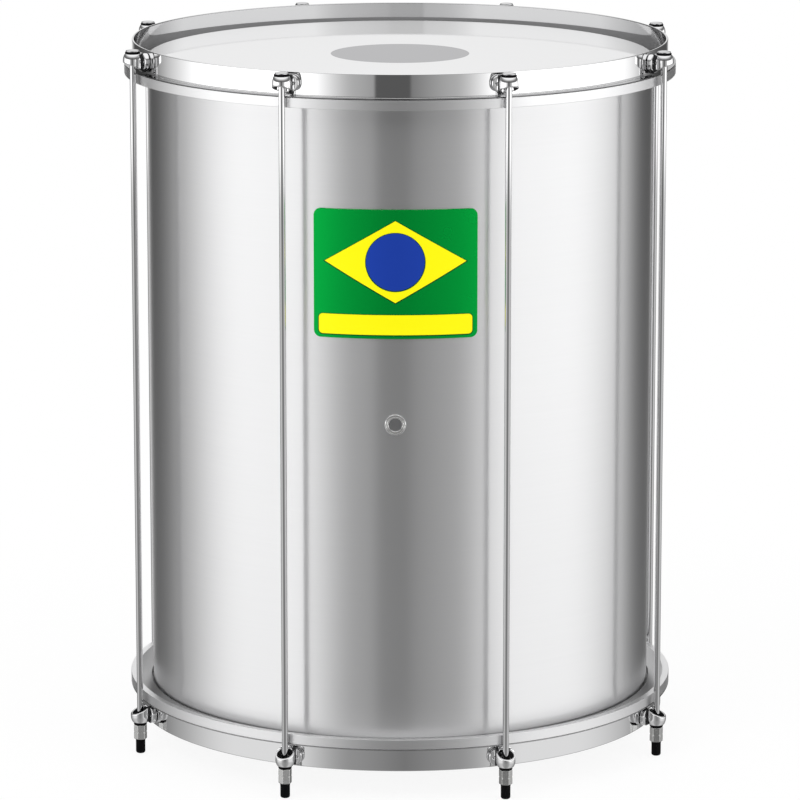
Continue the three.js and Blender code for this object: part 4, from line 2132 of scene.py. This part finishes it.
@dataclass(frozen=True)
class Studio:
    """The floor, the light and what the metal sees of the studio.

    Attributes:
        floor_radius: The floor, in metres.
        floor_segments: Facets round the floor.
        floor_colour: Its colour.
        floor_shadow: How much of the drum's shadow the camera sees, close to the drum.
        shadow_from: Where the shadow starts to fade, in metres from the axis.
        shadow_to: Where it has faded out.
        floor_drop: How far the floor lies under the caps, in metres.
        ambient: The light from all round.
        wall_level: The dim part of the studio wall.
        wall_centre: The bearing that both sides of the wall are alike about, in degrees.
        bands: The lit parts of the wall.
        back: The part behind the drum.
        stand: The dark stand in front of it.
        stand_foot: The rises between which the stand comes in from below, in degrees.
        lean_from: The rise below which bands lean, in degrees.
        table: The lit table, which takes over from the wall.
        low: The floor beyond the table.
        upper: The duller part of the wall above the horizon.
        dark: The dark part under the ceiling.
        ceiling: The lit ceiling.
        lamps: The lamps over the drum.
        inner_lamp_rise: How far the lamp inside the drum, seen through the vent, is over its middle.
        inner_lamp_size: Its side, in metres.
        inner_lamp_power: Its power, in watts.
    """

    floor_radius: float = 6.0
    floor_segments: int = 96
    floor_colour: Colour = (0.97, 0.97, 0.97)
    floor_shadow: float = 0.1
    shadow_from: float = 0.3
    shadow_to: float = 0.9
    floor_drop: float = 0.0002
    ambient: float = 0.9
    wall_level: float = 0.13
    wall_centre: float = 3.0
    bands: tuple[LightBand, ...] = (
        LightBand(10, 19, 138, 22, 0.48),
        LightBand(36.4, 15.9, 110, 33, 1.7, lean=0.2),
        LightBand(-190, 5, -118, 45, 0.3, both_sides=False),
        LightBand(-190, 5, -132, 19, 0.07, both_sides=False),
        LightBand(134, 20, 190, 5, 0.08, both_sides=False),
    )
    back: LightBand = LightBand(168, 8, 200, 1, 0.85)
    stand: LightBand = LightBand(-9.5, 0.8, 5.5, 0.8, 0.1, both_sides=False)
    stand_foot: tuple[float, float] = (-13.0, -11.5)
    lean_from: float = -8.6
    table: RiseStep = RiseStep(-9.5, -11.5, 0.2, share=0.62)
    low: RiseStep = RiseStep(-17.0, -32.0, 0.32, share=0.5)
    upper: RiseStep = RiseStep(2.0, 8.0, 1.1, dims_only=True)
    dark: RiseStep = RiseStep(9.5, 10.4, 0.15, dims_only=True)
    ceiling: RiseStep = RiseStep(18.0, 45.0, 1.0)
    lamps: tuple[Lamp, ...] = (
        Lamp("key_softbox", (-1.5, -2.2, 2.6), 1.6, 24.0),
        Lamp("fill_softbox", (2.2, -1.6, 1.9), 1.6, 12.0),
    )
    inner_lamp_rise: float = 0.2
    inner_lamp_size: float = 0.3
    inner_lamp_power: float = 0.12

    def wall(self, bench: Bench) -> Socket:
        """Draws the studio as metal sees it, by the direction of the view.

        Args:
            bench: The world's bench.

        Returns:
            The brightness in each direction.
        """
        way = bench.add("ShaderNodeTexCoord").outputs["Generated"]
        parts = bench.add("ShaderNodeSeparateXYZ", {"Vector": way})
        towards_front = bench.math("MULTIPLY", parts.outputs["Y"], -1.0)
        bearing = bench.math("DEGREES", bench.math("ARCTAN2", parts.outputs["X"], towards_front))
        rise = bench.math("DEGREES", bench.math("ARCSINE", parts.outputs["Z"]))
        aside = bench.math("ABSOLUTE", bench.math("SUBTRACT", bearing, self.wall_centre))
        below = bench.math("MAXIMUM", bench.math("SUBTRACT", self.lean_from, rise), 0.0)

        def within(band: LightBand) -> Socket:
            """Masks a band of the wall.

            Args:
                band: The band.

            Returns:
                The mask's socket.
            """
            side = aside if band.both_sides else bearing
            start = bench.math("MULTIPLY_ADD", below, band.lean, band.start)
            low, high = (bench.math("ADD", start, soft) for soft in (-band.start_soft, band.start_soft))
            stop = bench.step(side, band.stop - band.stop_soft, band.stop + band.stop_soft)
            return bench.math("SUBTRACT", bench.step(side, low, high), stop)

        def changed(level: object, step: RiseStep) -> Socket:
            """Changes the brightness with the rise.

            Args:
                level: The brightness.
                step: The change.

            Returns:
                The new brightness.
            """
            share = bench.math("MULTIPLY", bench.step(rise, step.start, step.stop), step.share)
            end = bench.math("MINIMUM", level, step.level) if step.dims_only else step.level
            return bench.blend(share, level, end)

        level: object = self.wall_level
        for band in self.bands:
            level = bench.blend(within(band), level, band.level)
        for step in (self.table, self.low, self.upper, self.dark):
            level = changed(level, step)
        stand = bench.math("MULTIPLY", within(self.stand), bench.step(rise, *self.stand_foot))
        level = bench.blend(stand, level, self.stand.level)
        level = bench.blend(within(self.back), level, self.back.level)
        return changed(level, self.ceiling)

    def build_world(self) -> None:
        """Builds the light from all round, which the camera sees as plain white."""
        world = bpy.data.worlds.new("studio")
        bpy.context.scene.world = world
        world.use_nodes = True
        world.cycles.sampling_method = "NONE"
        bench = Bench(world.node_tree)
        background = world.node_tree.nodes["Background"]
        path = bench.add("ShaderNodeLightPath")
        first_sight = bench.math("SUBTRACT", 1.0, bench.math("MINIMUM", path.outputs["Diffuse Depth"], 1.0))
        mirrored = bench.math("MULTIPLY", path.outputs["Is Glossy Ray"], first_sight)
        seen = bench.blend(mirrored, self.ambient, self.wall(bench))
        white = bench.math("MAXIMUM", path.outputs["Is Camera Ray"], path.outputs["Is Transmission Ray"])
        bench.feed(background.inputs["Strength"], bench.blend(white, seen, 1.0))
        background.inputs["Color"].default_value = opaque((1.0, 1.0, 1.0))

    def build_floor(self) -> None:
        """Builds the pale floor. Metal looks through it at the studio's wall."""
        material = bpy.data.materials.new("studio floor")
        material.use_nodes = True
        nodes = material.node_tree.nodes
        nodes.clear()
        bench = Bench(material.node_tree)
        path = bench.add("ShaderNodeLightPath")
        matt = bench.add("ShaderNodeBsdfDiffuse", {"Color": opaque(self.floor_colour)})
        white = bench.add("ShaderNodeEmission", {"Color": opaque((1.0, 1.0, 1.0)), "Strength": 1.0})
        clear = bench.add("ShaderNodeBsdfTransparent")
        near = bench.step(axis_distance(bench), self.shadow_to, self.shadow_from)
        kept = bench.math("MULTIPLY", near, self.floor_shadow)
        lift = bench.math("MULTIPLY", path.outputs["Is Camera Ray"], bench.math("SUBTRACT", 1.0, kept))
        lit = bench.add("ShaderNodeMixShader", {0: lift, 1: matt.outputs[0], 2: white.outputs[0]})
        mirrored = bench.math("MAXIMUM", path.outputs["Is Glossy Ray"], path.outputs["Is Transmission Ray"])
        shown = bench.add("ShaderNodeMixShader", {0: mirrored, 1: lit.outputs[0], 2: clear.outputs[0]})
        bench.add("ShaderNodeOutputMaterial", {"Surface": shown.outputs[0]})
        build = bmesh.new()
        bmesh.ops.create_circle(build, cap_ends=True, segments=self.floor_segments, radius=self.floor_radius)
        mesh = bpy.data.meshes.new("studio floor")
        build.to_mesh(mesh)
        build.free()
        mesh.transform(Matrix.Translation((0, 0, -self.floor_drop)))
        mesh.materials.append(material)
        placed("studio_floor", mesh)

    def build(self, aim: Vector) -> None:
        """Builds the studio.

        Args:
            aim: What the lamps point at.
        """
        self.build_world()
        self.build_floor()
        above = (aim.x, aim.y, aim.z + self.inner_lamp_rise)
        inner_lamp = Lamp("inner_lamp", above, self.inner_lamp_size, self.inner_lamp_power, mirrored=True)
        for lamp in (*self.lamps, inner_lamp):
            lamp.build(aim)
        log.info("studio built")


@dataclass(frozen=True)
class PhotoCamera:
    """The camera of the photograph, whose picture is 800 pixels square.

    Attributes:
        elevation: Its height over the horizon, in degrees.
        bearing: How far it stands to the right of the drum's front, in degrees.
        distance: From the middle of the drum, in metres.
        focal_px: The focal length, in pixels.
        picture_px: The side of the picture, in pixels.
        centre_rise_px: How far the middle of the drum lies above the picture's centre, in pixels.
        sensor: The sensor's width, in millimetres.
        clip_share: How far it sees, in distances to the drum.
    """

    elevation: float = 11.76
    bearing: float = 1.0
    distance: float = 4.1014
    focal_px: float = 4687.5
    picture_px: float = 800.0
    centre_rise_px: float = 28.65
    sensor: float = 36.0
    clip_share: float = 4.0

    def build(self, aim: Vector) -> None:
        """Builds the camera.

        Args:
            aim: The middle of the drum.
        """
        rise, side = math.radians(self.elevation), math.radians(self.bearing)
        away = Vector((math.sin(side) * math.cos(rise), -math.cos(side) * math.cos(rise), math.sin(rise)))
        data = bpy.data.cameras.new("photo camera")
        data.sensor_width = self.sensor
        data.lens = self.focal_px / self.picture_px * self.sensor
        data.shift_y = -self.centre_rise_px / self.picture_px
        data.clip_end = self.clip_share * self.distance
        camera = placed("photo_camera", data)
        camera.location = aim + away * self.distance
        camera.rotation_euler = (-away).to_track_quat("-Z", "Y").to_euler()
        bpy.context.scene.camera = camera


def main() -> None:
    """Builds the camera, the drum and the studio."""
    logging.basicConfig(level=logging.INFO, format="%(name)s: %(message)s")
    drum = DrumFrame.from_pack()
    middle = Vector((0, 0, drum.middle))
    PhotoCamera().build(middle)
    shell = Shell(drum)
    flesh_hoop = FleshHoop(drum)
    stations = Stations(drum)
    shell.build()
    VentEyelet(drum, shell).build()
    Badge(drum).build()
    for end in End:
        Head(drum, flesh_hoop).build(end)
        flesh_hoop.build(end)
        CounterHoop(drum, flesh_hoop).build(end)
    TensionRods(drum, stations).build()
    TuningSet(drum, stations).build()
    Studio().build(middle)
    bpy.context.scene.view_settings.view_transform = "Standard"


if __name__ == "__main__":
    main()
